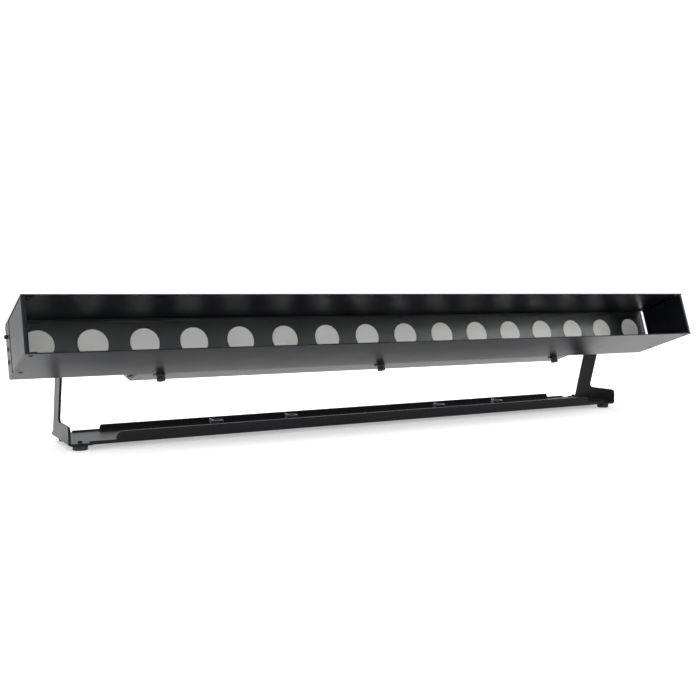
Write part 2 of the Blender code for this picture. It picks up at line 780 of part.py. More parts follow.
def make_tilt_knobs():
    for label, side, axis in (("left", -1, "-X"), ("right", 1, "X")):
        washer = ring(stud_hole, washer_radius, clearance, clearance + washer_thickness)
        shape = add_turned(bmesh.new(), washer, (side * lug_outer, 0, axis_height), axis, 16)
        finish(f"friction_washer_{label}", shape, fibre_washer)
        pivot = empty_at(f"tilt_axis_{label}", (side * arm_outer, 0.0, axis_height))
        outline = []
        steps = tilt_knob_lobes * 4
        for i in range(steps):
            angle = math.tau * i / steps
            radius = tilt_knob_radius - tilt_knob_dip * (1 - math.cos(tilt_knob_lobes * angle)) / 2
            outline.append((radius * math.cos(angle), radius * math.sin(angle)))
        low, high = sorted((side * clearance, side * (clearance + tilt_knob_length)))
        knob = finish(f"tilt_knob_{label}", add_prism(bmesh.new(), outline, low, high), plastic_black, pivot)
        reach = arm_outer - lug_inner + nut_thickness
        stud = disc(stud_radius, -reach, stud_seat)
        combine(knob, add_turned(bmesh.new(), stud, (0, 0, 0), axis, 12), "UNION")


def tangent(point, side):
    # The angle in degrees of the line from point that touches the arm's round top, on its front or rear.
    y, z = -point[0], axis_height - point[1]
    return math.degrees(math.atan2(z, y) - side * math.asin(arm_top_radius / math.hypot(y, z)))


def arm_outline():
    # Side view of an arm: a boot as deep as the base, and a leaning leg with a round top.
    low = yoke_sheet / 2
    rear_foot = (arm_rear_root, low)
    front_foot = (arm_front_root, boot_top)
    rear_slope = tangent(rear_foot, 1)
    front_slope = tangent(front_foot, -1)
    outline = [(-base_half_depth, low), rear_foot]
    outline += arc((0.0, axis_height), arm_top_radius, rear_slope - 90, front_slope + 90, 10)
    lean = math.radians(front_slope)
    turn = (boot_fillet * math.cos(lean), boot_fillet * math.sin(lean))
    outline.append((front_foot[0] + turn[0], boot_top + turn[1]))
    outline.append((front_foot[0] - boot_fillet, boot_top))
    outline += arc((boot_corner - base_half_depth, boot_top - boot_corner), boot_corner, 90, 180, 4)
    return outline


def clamp_places():
    return [side * clamp_pair_offset + step * clamp_spacing / 2 for side in (-1, 1) for step in (-1, 1)]


def foot_places():
    x = arm_outer - foot_inset_x
    y = base_half_depth - foot_inset_y
    return [(a * x, b * y) for a in (-1, 1) for b in (-1, 1)]


def flange_outline(half, top, corner):
    # Front view of a flange, from inside the base plate up, with round upper corners.
    bend = arc((half - corner, top - corner), corner, 0, 90, 4)
    return [(-half, yoke_sheet / 2), (half, yoke_sheet / 2)] + bend + [(-x, z) for x, z in reversed(bend)]


def make_yoke():
    bend = arc((arm_outer - bend_radius, bend_radius), bend_radius, -90, 0, 4)
    side = bend + [(arm_outer, boot_top / 4), (arm_inner, boot_top / 4), (arm_inner, yoke_sheet)]
    outline = side + [(-x, z) for x, z in reversed(side)]
    shape = add_prism(bmesh.new(), outline, -base_half_depth, base_half_depth, "Y")
    yoke = finish("yoke_bracket", shape, black_paint)
    for end in (-1, 1):
        low, high = sorted((end * (arm_inner + fuse_inset), end * (arm_outer - fuse_inset)))
        outline = [(y, max(z, yoke_sheet)) for y, z in arm_outline()]
        combine(yoke, add_prism(bmesh.new(), outline, low, high), "UNION")
    front, rear = fuse_inset - base_half_depth, base_half_depth - fuse_inset
    lip_half = arm_outer - lip_inset
    lip = rectangle(-lip_half, lip_half, yoke_sheet / 2, lip_top)
    combine(yoke, add_prism(bmesh.new(), lip, front, yoke_sheet - base_half_depth, "Y"), "UNION")
    outline = flange_outline(arm_outer - front_flange_inset, front_flange_top, flange_corner)
    inner = yoke_sheet - base_half_depth - fuse_inset
    shape = add_prism(bmesh.new(), outline, front + fuse_inset, inner, "Y")
    combine(yoke, shape, "UNION")
    outline = flange_outline(arm_outer - rear_flange_inset, rear_flange_top, flange_corner / 2)
    combine(yoke, add_prism(bmesh.new(), outline, base_half_depth - yoke_sheet, rear, "Y"), "UNION")
    holes = bmesh.new()
    through = (-yoke_sheet, 2 * yoke_sheet)
    for end, axis in ((-1, "-X"), (1, "X")):
        pivot = disc(stud_hole, -2 * yoke_sheet, yoke_sheet)
        add_turned(holes, pivot, (end * arm_outer, 0, axis_height), axis, 16)
    for x, y in foot_places():
        add_turned(holes, disc(foot_screw_radius + clearance, *through), (x, y, 0), "Z", 8)
    for x in clamp_places():
        add_turned(holes, disc(clamp_hole, *through), (x, 0, 0), "Z", 12)
        for offset in (-receptacle_rivet_offset, receptacle_rivet_offset):
            add_turned(holes, disc(receptacle_rivet + clearance, *through), (x + offset, 0, 0), "Z", 8)
    combine(yoke, holes, "DIFFERENCE")


def make_receptacles():
    low = yoke_sheet + clearance
    top = low + receptacle_sheet
    foot_top = top + spring_sheet
    tail = -clearance
    for i, x in enumerate(clamp_places()):
        long, wide = receptacle_half_length, receptacle_half_width
        plate = rectangle(x - long, x + long, -wide, wide)
        clip = finish(f"clamp_receptacle_{i + 1}", add_prism(bmesh.new(), plate, low, top, "Z"), steel_black)
        cup = disc(receptacle_cup, low + receptacle_sheet / 2, receptacle_top)
        combine(clip, add_turned(bmesh.new(), cup, (x, 0, 0), "Z", 12), "UNION")
        wall = x - receptacle_cup + spring_sheet / 2
        start = x - receptacle_half_length + spring_sheet
        foot = top - spring_sheet / 2
        outline = [
            (start, foot), (wall, foot), (wall, spring_top), (wall - spring_sheet, spring_top),
            (wall - spring_sheet, foot_top), (start, foot_top),
        ]
        spring = add_prism(bmesh.new(), outline, -spring_half_width, spring_half_width, "Y")
        combine(clip, spring, "UNION")
        bore = add_turned(bmesh.new(), disc(receptacle_bore, 0.0, 2 * receptacle_top), (x, 0, 0), "Z", 12)
        combine(clip, bore, "DIFFERENCE")
        rivets = bmesh.new()
        for offset, seat in ((-receptacle_rivet_offset, foot_top), (receptacle_rivet_offset, top)):
            head = seat - spring_sheet / 3
            profile = [
                (0.0, tail - receptacle_rivet_rise),
                (receptacle_rivet_head * 0.7, tail - receptacle_rivet_rise),
                (receptacle_rivet_head, tail), (receptacle_rivet, tail), (receptacle_rivet, head),
                (receptacle_rivet_head, head), (receptacle_rivet_head * 0.7, seat + receptacle_rivet_rise),
                (0.0, seat + receptacle_rivet_rise),
            ]
            add_turned(rivets, profile, (x + offset, 0, 0), "Z", 6)
        combine(clip, rivets, "UNION")


def make_feet():
    # Each foot is a rubber pad moulded round its screw, whose head holds it from above.
    edge = foot_radius / 9
    head = yoke_sheet + clearance
    profile = [
        (0.0, -foot_height), (foot_radius - edge, -foot_height), (foot_radius, edge - foot_height),
        (foot_radius, -clearance), (foot_screw_radius, -clearance), (foot_screw_radius, head),
        (foot_screw_head, head), (foot_screw_head, head + foot_screw_rise), (0.0, head + foot_screw_rise),
    ]
    labels = ("front_left", "rear_left", "front_right", "rear_right")
    for label, (x, y) in zip(labels, foot_places()):
        shape = add_turned(bmesh.new(), profile, (x, y, 0), "Z", 14)
        finish(f"foot_{label}", shape, rubber_black, smooth=True)


make_hood()
make_led_housing()
make_end_caps()
make_optics()
make_cover()
make_sockets()
make_control_panel()
make_electronics()
make_hood_knobs()
make_lugs()
make_tilt_knobs()
make_yoke()
make_receptacles()
make_feet()
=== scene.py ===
import json
import math

import bmesh
import bpy
from mathutils import Matrix, Vector


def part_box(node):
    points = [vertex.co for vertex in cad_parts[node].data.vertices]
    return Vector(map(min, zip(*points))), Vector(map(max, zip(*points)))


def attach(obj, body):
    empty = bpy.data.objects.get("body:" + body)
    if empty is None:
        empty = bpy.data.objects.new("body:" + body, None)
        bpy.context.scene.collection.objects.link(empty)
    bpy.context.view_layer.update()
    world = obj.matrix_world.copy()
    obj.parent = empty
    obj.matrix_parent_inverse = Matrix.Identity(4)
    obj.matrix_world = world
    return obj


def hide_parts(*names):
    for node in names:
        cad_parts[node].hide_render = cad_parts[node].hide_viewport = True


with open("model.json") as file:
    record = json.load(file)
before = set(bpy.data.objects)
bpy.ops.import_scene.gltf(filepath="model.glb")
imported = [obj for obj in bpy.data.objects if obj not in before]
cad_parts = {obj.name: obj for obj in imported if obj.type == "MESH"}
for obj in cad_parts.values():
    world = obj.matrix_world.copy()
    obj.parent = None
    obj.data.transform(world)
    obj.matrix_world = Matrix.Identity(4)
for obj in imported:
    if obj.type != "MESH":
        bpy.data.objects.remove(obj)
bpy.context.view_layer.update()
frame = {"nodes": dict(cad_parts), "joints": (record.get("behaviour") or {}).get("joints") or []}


def shift(x, y, z):
    return Matrix.Translation((x, y, z))


joints = {joint["name"]: joint for joint in frame["joints"]}
pivot = Vector(joints["head_tilt"]["pos_m"])
headUp = Vector(joints["hood_knob_1_turn"]["axis"])
tiltAtRest = math.atan2(headUp.y, headUp.z)
headPlace = shift(*pivot) @ Matrix.Rotation(-tiltAtRest, 4, "X")
headInverse = headPlace.inverted()
still = Matrix.Identity(4)
sideNames = {-1: "left", 1: "right"}
up, down, backward = (0, 0, 1), (0, 0, -1), (0, 1, 0)

# Turns that lay a flat piece made in XY, or a turned piece made round Z, along another axis
alongX = Matrix(((0, 0, 1, 0), (1, 0, 0, 0), (0, 1, 0, 0), (0, 0, 0, 1)))  # XY of the piece becomes YZ
alongY = Matrix(((1, 0, 0, 0), (0, 0, -1, 0), (0, 1, 0, 0), (0, 0, 0, 1)))  # XY of the piece becomes XZ
facing = {
    "+X": Matrix.Rotation(math.radians(90), 4, "Y"),
    "-X": Matrix.Rotation(math.radians(-90), 4, "Y"),
    "+Y": Matrix.Rotation(math.radians(-90), 4, "X"),
}


def headCorners(name):
    # Corners of a node in the head's own frame, where +Y runs back from the rim
    return [headInverse @ vertex.co for vertex in frame["nodes"][name].data.vertices]


def headBox(name):
    # Lowest and highest corner of a node in the head's own frame
    sides = list(zip(*headCorners(name)))
    return Vector([min(values) for values in sides]), Vector([max(values) for values in sides])


# Camera and studio, matched to the photograph's view. A softbox is its place, what it faces, its size
# in metres and how many times brighter than the white backdrop it looks.
studio = {
    "cameraPlace": (-0.66628, -1.14036, 0.18101),
    "cameraTurn": (86.423, 0, -29.109),
    "focalLength": 47.03,
    "sensorWidth": 36,
    "floorSize": 7,
    "backdrop": 1.08,
    "backdropColour": "#FBFCFF",
    "roomLight": 0.35,
    "fade": (0.35, 0.75),  # how high the view points where the backdrop starts and ends fading
    "tableGlow": 0.41,
    "softboxes": {
        "overheadSoftbox": ((0, 0, 2.5), (0, 0, 0), (4, 4), 1.8),
        "rightSoftbox": ((2.1, -1.5, 0.95), (0.2, -0.1, 0.1), (1.6, 0.9), 3.4),
        "frontSoftbox": ((-0.9, -2.4, 0.75), (0, -0.1, 0.1), (2.2, 0.9), 2.3),
        "leftSoftbox": ((-2.4, -0.5, 0.5), (-0.5, 0, 0.1), (0.8, 1.2), 4),
    },
}


def addNode(tree, kind, inputs=None, **settings):
    # Adds a node: a socket given for an input is linked to it, anything else becomes its value
    made = tree.nodes.new(kind)
    for key, value in settings.items():
        setattr(made, key, value)
    for key, value in (inputs or {}).items():
        if isinstance(value, bpy.types.NodeSocket):
            tree.links.new(value, made.inputs[key])
        else:
            made.inputs[key].default_value = value
    return made


def hexColour(code):
    # sRGB hex to linear
    parts = [int(code[i:i + 2], 16) / 255 for i in (1, 3, 5)]
    linear = [part / 12.92 if part <= 0.04045 else ((part + 0.055) / 1.055) ** 2.4 for part in parts]
    return (*linear, 1)


def perMetre(millimetres):
    # Texture scale for a pattern of that size
    return 1000 / millimetres


# Where most of the noise's values lie, and how many grains wide the slow change of roughness is
noiseRange, roughnessPatch = (0.3, 0.7), 45


def surface(name, colour, roughness, grain=None, second=None, metallic=0, ior=1.5, **sockets):
    # A material from its real base values. grain is (size in mm, bump height in mm, roughness swing),
    # second is (hex colour, patch size in mm) for slow variation of the colour
    material = bpy.data.materials.new(name)
    material.use_nodes = True
    tree = material.node_tree
    shader = tree.nodes["Principled BSDF"]
    values = {"Base Color": hexColour(colour), "Roughness": roughness, "Metallic": metallic, "IOR": ior}
    values.update({key.replace("_", " "): value for key, value in sockets.items()})
    for key, value in values.items():
        shader.inputs[key].default_value = value
    place = addNode(tree, "ShaderNodeTexCoord").outputs["Object"]
    if second:
        scale = perMetre(second[1])
        patches = addNode(tree, "ShaderNodeTexNoise", {"Vector": place, "Scale": scale, "Detail": 4})
        colours = {"Factor": patches.outputs["Fac"], 6: hexColour(colour), 7: hexColour(second[0])}
        mixed = addNode(tree, "ShaderNodeMix", colours, data_type="RGBA")
        tree.links.new(mixed.outputs[2], shader.inputs["Base Color"])
    if grain:
        size, height, swing = grain
        fine = addNode(tree, "ShaderNodeTexNoise", {"Vector": place, "Scale": perMetre(size), "Detail": 3})
        bump = addNode(tree, "ShaderNodeBump", {"Height": fine.outputs["Fac"], "Distance": height / 1000})
        tree.links.new(bump.outputs["Normal"], shader.inputs["Normal"])
        scale = perMetre(size * roughnessPatch)
        slow = addNode(tree, "ShaderNodeTexNoise", {"Vector": place, "Scale": scale, "Detail": 5})
        spread = addNode(tree, "ShaderNodeMapRange", {
            "Value": slow.outputs["Fac"], "From Min": noiseRange[0], "From Max": noiseRange[1],
            "To Min": roughness - swing, "To Max": roughness + swing,
        })
        tree.links.new(spread.outputs["Result"], shader.inputs["Roughness"])
    return material


# Polyester powder coat, baked on sheet: a fine orange peel that softens reflections without hiding them.
# Its real peel is about 0.5 mm across, drawn at 0.9 mm so that it shows.
powderCoat = surface("polyesterPowderCoat", "#0E0F12", 0.35, (0.9, 0.012, 0.012), ("#111216", 60),
                     Specular_IOR_Level=0.135)
# The same coat sprayed a little smoother on the driver cover, whose underside shows as a paler band
coverCoat = surface("smoothPowderCoat", "#0F1013", 0.31, (0.9, 0.009, 0.012), ("#121317", 60),
                    Specular_IOR_Level=0.18)
# The same coat on the steel yoke, with a deeper peel that handling has worn unevenly
yokeCoat = surface("powderCoatedSteel", "#131416", 0.34, (0.9, 0.014, 0.02), ("#171719", 45),
                   Specular_IOR_Level=0.1)
# Black anodised 6063 extrusion: satin, with a metal's soft sheen
anodised = surface("blackAnodisedAluminium", "#1E1F21", 0.42, (0.4, 0.004, 0.05), metallic=0.65)
# Toughened glass, finely etched and coated against glare: it mirrors little, and blurs that more than
# what lies close behind it. The coat is drawn as an IOR well below the 1.52 of bare glass.
windowGlass = surface("etchedToughenedGlass", "#FCFDFC", 0.2, (0.5, 0.002, 0.02), ior=1.26,
                      Transmission_Weight=1)
# Injection moulded black polycarbonate mask, satin
maskBlack = surface("satinPolycarbonate", "#121314", 0.42, (0.6, 0.004, 0.04), ("#151617", 9), ior=1.58,
                    Specular_IOR_Level=0.3)
# Frosted acrylic: the frosting scatters light evenly, so the disc looks flat and pale
frostedAcrylic = surface("frostedAcrylic", "#E8E7E4", 0.7, (0.5, 0.01, 0.05), ("#DEDDD9", 9), ior=1.49,
                         Specular_IOR_Level=0.25)
# EPDM rubber, dull with a dusty bloom
rubber = surface("epdmRubber", "#121212", 0.78, (0.7, 0.02, 0.06), ("#1B1B1A", 5))
# Glass filled nylon, spark eroded mould texture
nylon = surface("mouldedNylon", "#131315", 0.46, (0.45, 0.012, 0.05), ("#18181A", 12), ior=1.53)
# Phosphate blackened spring steel
blackSteel = surface("blackenedSpringSteel", "#26262A", 0.4, (0.5, 0.006, 0.08), metallic=0.85)
# Bright zinc plate on steel
zinc = surface("zincPlatedSteel", "#B9BBBD", 0.27, (0.6, 0.005, 0.07), ("#A5A49E", 4), metallic=1)
# Black oxide screws: dark metal with a soft oily gloss
blackOxide = surface("blackOxideScrew", "#202124", 0.34, (0.4, 0.004, 0.06), metallic=0.8)
# Gold flashed contact pins
contactMetal = surface("goldFlashedContact", "#C9A45A", 0.25, (0.4, 0.002, 0.04), metallic=1)
# Vulcanised fibre friction washer
fibre = surface("vulcanisedFibre", "#3A332C", 0.72, (0.5, 0.015, 0.06), ("#2C2722", 2))
# Hard coated acrylic display window over a grey liquid crystal panel
displayAcrylic = surface("hardCoatedAcrylic", "#07090B", 0.06, (2, 0.0006, 0.02), ior=1.49, Coat_Weight=0.3)
liquidCrystal = surface("liquidCrystalPanel", "#1D2A22", 0.22, (0.6, 0.002, 0.03), ("#213027", 6))
# White solder mask on an aluminium core board
whiteBoard = surface("whiteSolderMask", "#D9D9D4", 0.45, (0.7, 0.006, 0.05), ("#CFCFC8", 8))
# Green epoxy glass board with its solder mask
greenBoard = surface("greenSolderMask", "#0F4A2A", 0.38, (0.8, 0.01, 0.08), ("#125932", 7))
# Galvanised case of the power supply
galvanised = surface("galvanisedCase", "#9EA1A3", 0.38, (1.5, 0.006, 0.1), ("#8B8E91", 9), metallic=1)
# Braided polyester sleeve
braid = surface("braidedSleeve", "#101012", 0.66, (0.8, 0.06, 0.05), ("#1A1A1D", 1.2))
print("materials made")


def arc(centre, radius, start, end, steps):
    # Points on an arc, angles in degrees, both ends included
    turns = [math.radians(start + (end - start) * i / steps) for i in range(steps + 1)]
    return [(centre[0] + radius * math.cos(turn), centre[1] + radius * math.sin(turn)) for turn in turns]


def circle(centre, radius, steps=48):
    return arc(centre, radius, 0, 360 - 360 / steps, steps - 1)


def rectangle(left, bottom, right, top):
    return [(left, bottom), (right, bottom), (right, top), (left, top)]


def cornerArc(before, corner, after, radius, steps):
    # Points of the arc that turns a corner to a radius
    here = Vector(corner)
    back, on = (Vector(before) - here).normalized(), (Vector(after) - here).normalized()
    half = back.angle(on) / 2
    centre = here + (back + on).normalized() * radius / math.sin(half)
    first, last = here + back * radius / math.tan(half) - centre, here + on * radius / math.tan(half) - centre
    turn = math.atan2(first.x * last.y - first.y * last.x, first.dot(last))
    points = []
    for i in range(steps + 1):
        angle = turn * i / steps
        x = first.x * math.cos(angle) - first.y * math.sin(angle)
        y = first.x * math.sin(angle) + first.y * math.cos(angle)
        points.append((centre.x + x, centre.y + y))
    return points


def rounded(corners, radii, steps=5):
    # A closed outline with each corner turned to a radius, one for all or a list of one for each
    if not isinstance(radii, list):
        radii = [radii] * len(corners)
    outline = []
    for i, (corner, radius) in enumerate(zip(corners, radii)):
        following = corners[(i + 1) % len(corners)]
        outline += cornerArc(corners[i - 1], corner, following, radius, steps) if radius else [corner]
    return outline


def bentStrip(path, sheet, radius, steps=6):
    # Closed outline of a bent sheet whose middle line follows path, each corner turned to a radius
    line = [path[0]]
    for before, corner, after in zip(path, path[1:], path[2:]):
        line += cornerArc(before, corner, after, radius, steps)
    points = [Vector(point) for point in line + [path[-1]]]
    runs = [(b - a).normalized() for a, b in zip(points, points[1:])]
    left, right = [], []
    for i, point in enumerate(points):
        one, two = runs[max(i - 1, 0)], runs[min(i, len(runs) - 1)]
        along = (one + two).normalized()
        out = Vector((-along.y, along.x)) * (sheet / 2) / along.dot(one)
        left.append(tuple(point + out))
        right.append(tuple(point - out))
    return left + right[::-1]


def cleaned(mesh):
    # Merges what coincides and turns the faces outwards
    shape = bmesh.new()
    shape.from_mesh(mesh)
    bmesh.ops.remove_doubles(shape, verts=shape.verts, dist=2e-6)
    bmesh.ops.dissolve_degenerate(shape, edges=shape.edges, dist=1e-7)
    bmesh.ops.recalc_face_normals(shape, faces=shape.faces)
    shape.to_mesh(mesh)
    shape.free()
    return mesh


# How far the edges of pieces are broken, and how far joined pieces stay off each other's faces, since
# a Boolean fails on faces that coincide
crispEdge, cutEdge, sheetEdge, softEdge, fuse = 0.0001, 0.0002, 0.00025, 0.0003, 0.00001


def plate(outlines, thickness, edge=sheetEdge, steps=0):
    # A flat piece in XY, centred on Z, with broken edges. The first outline is its rim, the rest are holes.
    curve = bpy.data.curves.new("plateOutline", "CURVE")
    curve.dimensions = "2D"
    curve.fill_mode = "BOTH"
    curve.extrude = thickness / 2 - edge
    curve.bevel_depth = edge
    curve.bevel_resolution = steps
    curve.offset = -edge
    for outline in outlines:
        spline = curve.splines.new("POLY")
        spline.points.add(len(outline) - 1)
        for point, (x, y) in zip(spline.points, outline):
            point.co = (x, y, 0, 1)
        spline.use_cyclic_u = True
    holder = bpy.data.objects.new("plateOutline", curve)
    mesh = bpy.data.meshes.new_from_object(holder)
    bpy.data.objects.remove(holder)
    bpy.data.curves.remove(curve)
    return cleaned(mesh)


def disc(radius, thickness, edge=0, steps=48, holes=()):
    # A round plate with holes through it
    return plate([circle((0, 0), radius, steps), *holes], thickness, edge)


def turned(profile, sides=48):
    # Turns (radius, height) points round Z. A radius of zero makes a pole, and a repeated first point a ring.
    shape = bmesh.new()
    rings = []
    for radius, height in profile:
        if radius == 0:
            rings.append([shape.verts.new((0, 0, height))])
            continue
        turns = [math.tau * i / sides for i in range(sides)]
        rings.append([shape.verts.new((radius * math.cos(t), radius * math.sin(t), height)) for t in turns])
    for low, high in zip(rings, rings[1:]):
        for i in range(sides):
            j = (i + 1) % sides
            corners = [low[i % len(low)], low[j % len(low)], high[j % len(high)], high[i % len(high)]]
            shape.faces.new(list(dict.fromkeys(corners)))
    mesh = bpy.data.meshes.new("turned")
    shape.to_mesh(mesh)
    shape.free()
    return cleaned(mesh)


def merged(parts):
    # One mesh from (mesh, place, material) parts
    mesh = bpy.data.meshes.new("merged")
    whole = bmesh.new()
    for part, place, material in parts:
        if material.name not in mesh.materials:
            mesh.materials.append(material)
        index = mesh.materials.find(material.name)
        part = part.copy()
        part.transform(place)
        for polygon in part.polygons:
            polygon.material_index = index
        whole.from_mesh(part)
        bpy.data.meshes.remove(part)
    bmesh.ops.recalc_face_normals(whole, faces=whole.faces)
    whole.to_mesh(mesh)
    whole.free()
    return mesh


def held(mesh, name="holder"):
    # An object in the scene that holds the mesh
    made = bpy.data.objects.new(name, mesh)
    bpy.context.scene.collection.objects.link(made)
    return made


def baked(holder):
    # The mesh that comes out of a holder's modifiers. The holder goes.
    depsgraph = bpy.context.evaluated_depsgraph_get()
    mesh = bpy.data.meshes.new_from_object(holder.evaluated_get(depsgraph))
    bpy.data.objects.remove(holder)
    return mesh


def shaded(mesh):
    # Smooth over small angles only, with the normals of large faces kept flat
    mesh.shade_smooth()
    mesh.set_sharp_from_angle(angle=math.radians(32))
    holder = held(mesh)
    holder.modifiers.new("flatFaces", "WEIGHTED_NORMAL").keep_sharp = True
    return baked(holder)


def piece(name, parts, slot, *nodes, body="head"):
    # A finished piece at the origin that rides on a body and stands for CAD nodes
    mesh = shaded(merged(parts))
    mesh.name = name
    made = held(mesh, name)
    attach(made, body)
    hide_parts(*nodes)


def boolean(mesh, others, operation):
    # The mesh joined with or cut by each of the others
    holder = held(mesh)
    tools = [held(other) for other in others]
    for tool in tools:
        modifier = holder.modifiers.new("cut", "BOOLEAN")
        modifier.operation = operation
        modifier.solver = "EXACT"
        modifier.object = tool
    result = baked(holder)
    for tool in tools:
        bpy.data.objects.remove(tool)
    return cleaned(result)


def softened(mesh, width):
    # Breaks the sharp edges of a finished solid
    holder = held(mesh)
    bevel = holder.modifiers.new("brokenEdges", "BEVEL")
    bevel.width = width
    bevel.segments = 2
    bevel.limit_method = "ANGLE"
    bevel.angle_limit = math.radians(40)
    return cleaned(baked(holder))


def moved(mesh, place):
    mesh.transform(place)
    return mesh


def forSide(mesh, side):
    # The mesh as it was made for the right, or mirrored for the left
    return mesh if side > 0 else cleaned(moved(mesh, Matrix.Scale(-1, 4, (1, 0, 0))))


def newTree(name, inputs):
    # A Geometry Nodes tree whose named inputs are filled when it grows
    tree = bpy.data.node_groups.new(name, "GeometryNodeTree")
    tree.interface.new_socket("Geometry", in_out="INPUT", socket_type="NodeSocketGeometry")
    for label, kind in inputs.items():
        tree.interface.new_socket(label, in_out="INPUT", socket_type="NodeSocket" + kind)
    tree.interface.new_socket("Geometry", in_out="OUTPUT", socket_type="NodeSocketGeometry")
    return tree, addNode(tree, "NodeGroupInput").outputs


def closeTree(tree, geometry, material):
    # Ends a tree in real meshes with their material
    real = addNode(tree, "GeometryNodeRealizeInstances", {"Geometry": geometry})
    painted = addNode(tree, "GeometryNodeSetMaterial", {"Geometry": real.outputs[0], "Material": material})
    addNode(tree, "NodeGroupOutput", {"Geometry": painted.outputs[0]})
    return tree


def grow(tree, start, values):
    # Runs a tree on a mesh and gives the plain mesh that comes out
    holder = held(start)
    modifier = holder.modifiers.new(tree.name, "NODES")
    modifier.node_group = tree
    for item in tree.interface.items_tree:
        if item.in_out == "INPUT" and item.name in values:
            modifier[item.identifier] = values[item.name]
    return cleaned(baked(holder))


def fastenerTree():
    # Sets a copy of one fastener on every point, its head turned to the way the point faces
    tree, given = newTree("fastenerRow", {"Fastener": "Object", "Finish": "Material"})
    template = addNode(tree, "GeometryNodeObjectInfo", {"Object": given["Fastener"]})
    way = addNode(tree, "GeometryNodeInputNamedAttribute", {"Name": "facing"}, data_type="FLOAT_VECTOR")
    turn = addNode(tree, "FunctionNodeAlignRotationToVector", {"Vector": way.outputs["Attribute"]}, axis="Z")
    copies = addNode(tree, "GeometryNodeInstanceOnPoints", {
        "Points": given["Geometry"], "Instance": template.outputs["Geometry"],
        "Rotation": turn.outputs["Rotation"],
    })
    return closeTree(tree, copies.outputs["Instances"], given["Finish"])


fastenerRow = fastenerTree()


def fasteners(template, seats, material, place=headPlace):
    # The part, as piece takes it, of the template's copies on seats, given as (spot, direction)
    points = bpy.data.meshes.new("seats")
    points.from_pydata([spot for spot, _ in seats], [], [])
    way = points.attributes.new("facing", "FLOAT_VECTOR", "POINT")
    for item, (_, direction) in zip(way.data, seats):
        item.vector = direction
    pattern = held(template.copy(), "fastenerPattern")
    mesh = grow(fastenerRow, points, {"Fastener": pattern, "Finish": material})
    bpy.data.objects.remove(pattern)
    return mesh, place, material


def panHead(head, height):
    # A pan head on Z = 0 with a hexagon socket, its foot sunk a little into what it sits on
    bend, sunk = height * 0.45, -height * 0.1
    crown = [(head - bend + x, height - bend + y) for x, y in arc((0, 0), bend, 20, 90, 4)]
    foot = [(0, sunk), (head * 0.9, sunk), (head, 0), (head, height - bend)]
    form = turned(foot + crown + [(0, height)], 24)
    key = disc(head * 0.45, height * 1.2, height * 0.02, 6)
    return boolean(form, [moved(key, shift(0, 0, height))], "DIFFERENCE")


def domeHead(radius, height):
    # A rivet's low dome, its foot sunk a little into what it sits on
    sunk = -height * 0.3
    turns = [math.radians(turn) for turn in range(0, 90, 15)]
    dome = [(radius * math.cos(turn), height * math.sin(turn)) for turn in turns]
    return turned([(0, sunk), (radius * 0.98, sunk)] + dome + [(0, height)], 24)


# Stage: floor, light and camera
def makeWorld():
    # A white backdrop all round, fading to a dimmer room overhead
    world = bpy.data.worlds.new("studio")
    world.use_nodes = True
    tree = world.node_tree
    way = addNode(tree, "ShaderNodeTexCoord").outputs["Generated"]
    height = addNode(tree, "ShaderNodeSeparateXYZ", {"Vector": way}).outputs["Z"]
    light = addNode(tree, "ShaderNodeMapRange", {
        "Value": height, "From Min": studio["fade"][0], "From Max": studio["fade"][1],
        "To Min": studio["backdrop"], "To Max": studio["roomLight"],
    }, interpolation_type="SMOOTHSTEP")
    background = tree.nodes["Background"].inputs
    background["Color"].default_value = hexColour(studio["backdropColour"])
    tree.links.new(light.outputs[0], background["Strength"])
    bpy.context.scene.world = world


def makeStudio():
    scene = bpy.context.scene
    scene.view_settings.view_transform = "Standard"
    makeWorld()
    half = studio["floorSize"] / 2
    level = min(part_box(node)[0].z for node in frame["nodes"])
    table = bpy.data.meshes.new("studioFloor")
    table.from_pydata([(x, y, level) for x, y in rectangle(-half, -half, half, half)], [], [(0, 1, 2, 3)])
    glow = {"Emission_Color": hexColour("#FFFFFF"), "Emission_Strength": studio["tableGlow"]}
    table.materials.append(surface("opalLightTable", "#F4F4F4", 0.85, Specular_IOR_Level=0.1, **glow))
    held(table, "studioFloor")
    for name, (place, target, size, strength) in studio["softboxes"].items():
        light = bpy.data.lights.new(name, "AREA")
        light.shape = "RECTANGLE"
        light.size, light.size_y = size
        light.energy = strength * math.pi * size[0] * size[1]
        lamp = held(light, name)
        lamp.location = place
        lamp.rotation_euler = (Vector(target) - Vector(place)).to_track_quat("-Z", "Y").to_euler()
    lens = bpy.data.cameras.new("photoCamera")
    lens.lens = studio["focalLength"]
    lens.sensor_width = studio["sensorWidth"]
    camera = held(lens, "photoCamera")
    camera.location = studio["cameraPlace"]
    camera.rotation_euler = [math.radians(angle) for angle in studio["cameraTurn"]]
    scene.camera = camera


makeStudio()
print("studio set")


# Glare hood: two flaps and two channel shaped side panels, riveted through tabs
hood = {
    "earHalf": 0.008, "earCorner": 0.002, "rivetInset": 0.007, "rivetDepths": (0.009, 0.08),
    "rivetHole": 0.0019, "rivetRadius": 0.0028, "rivetHeight": 0.0009, "knobHole": 0.0025,
    "sheet": 0.0014, "bend": 0.0016, "lip": 0.004, "lipBend": 0.003, "tab": 0.013,
    "clearance": 0.0003,
}
topLow, topHigh = headBox("hood_top_flap")
bottomLow, bottomHigh = headBox("hood_bottom_flap")
knobPlaces = [headInverse @ Vector(joints[f"hood_knob_{i}_turn"]["pos_m"]) for i in (1, 2, 3)]
rivetPlaces = [
    (side * (topHigh.x - hood["rivetInset"]), topLow.y + depth)
    for side in (-1, 1) for depth in hood["rivetDepths"]
]


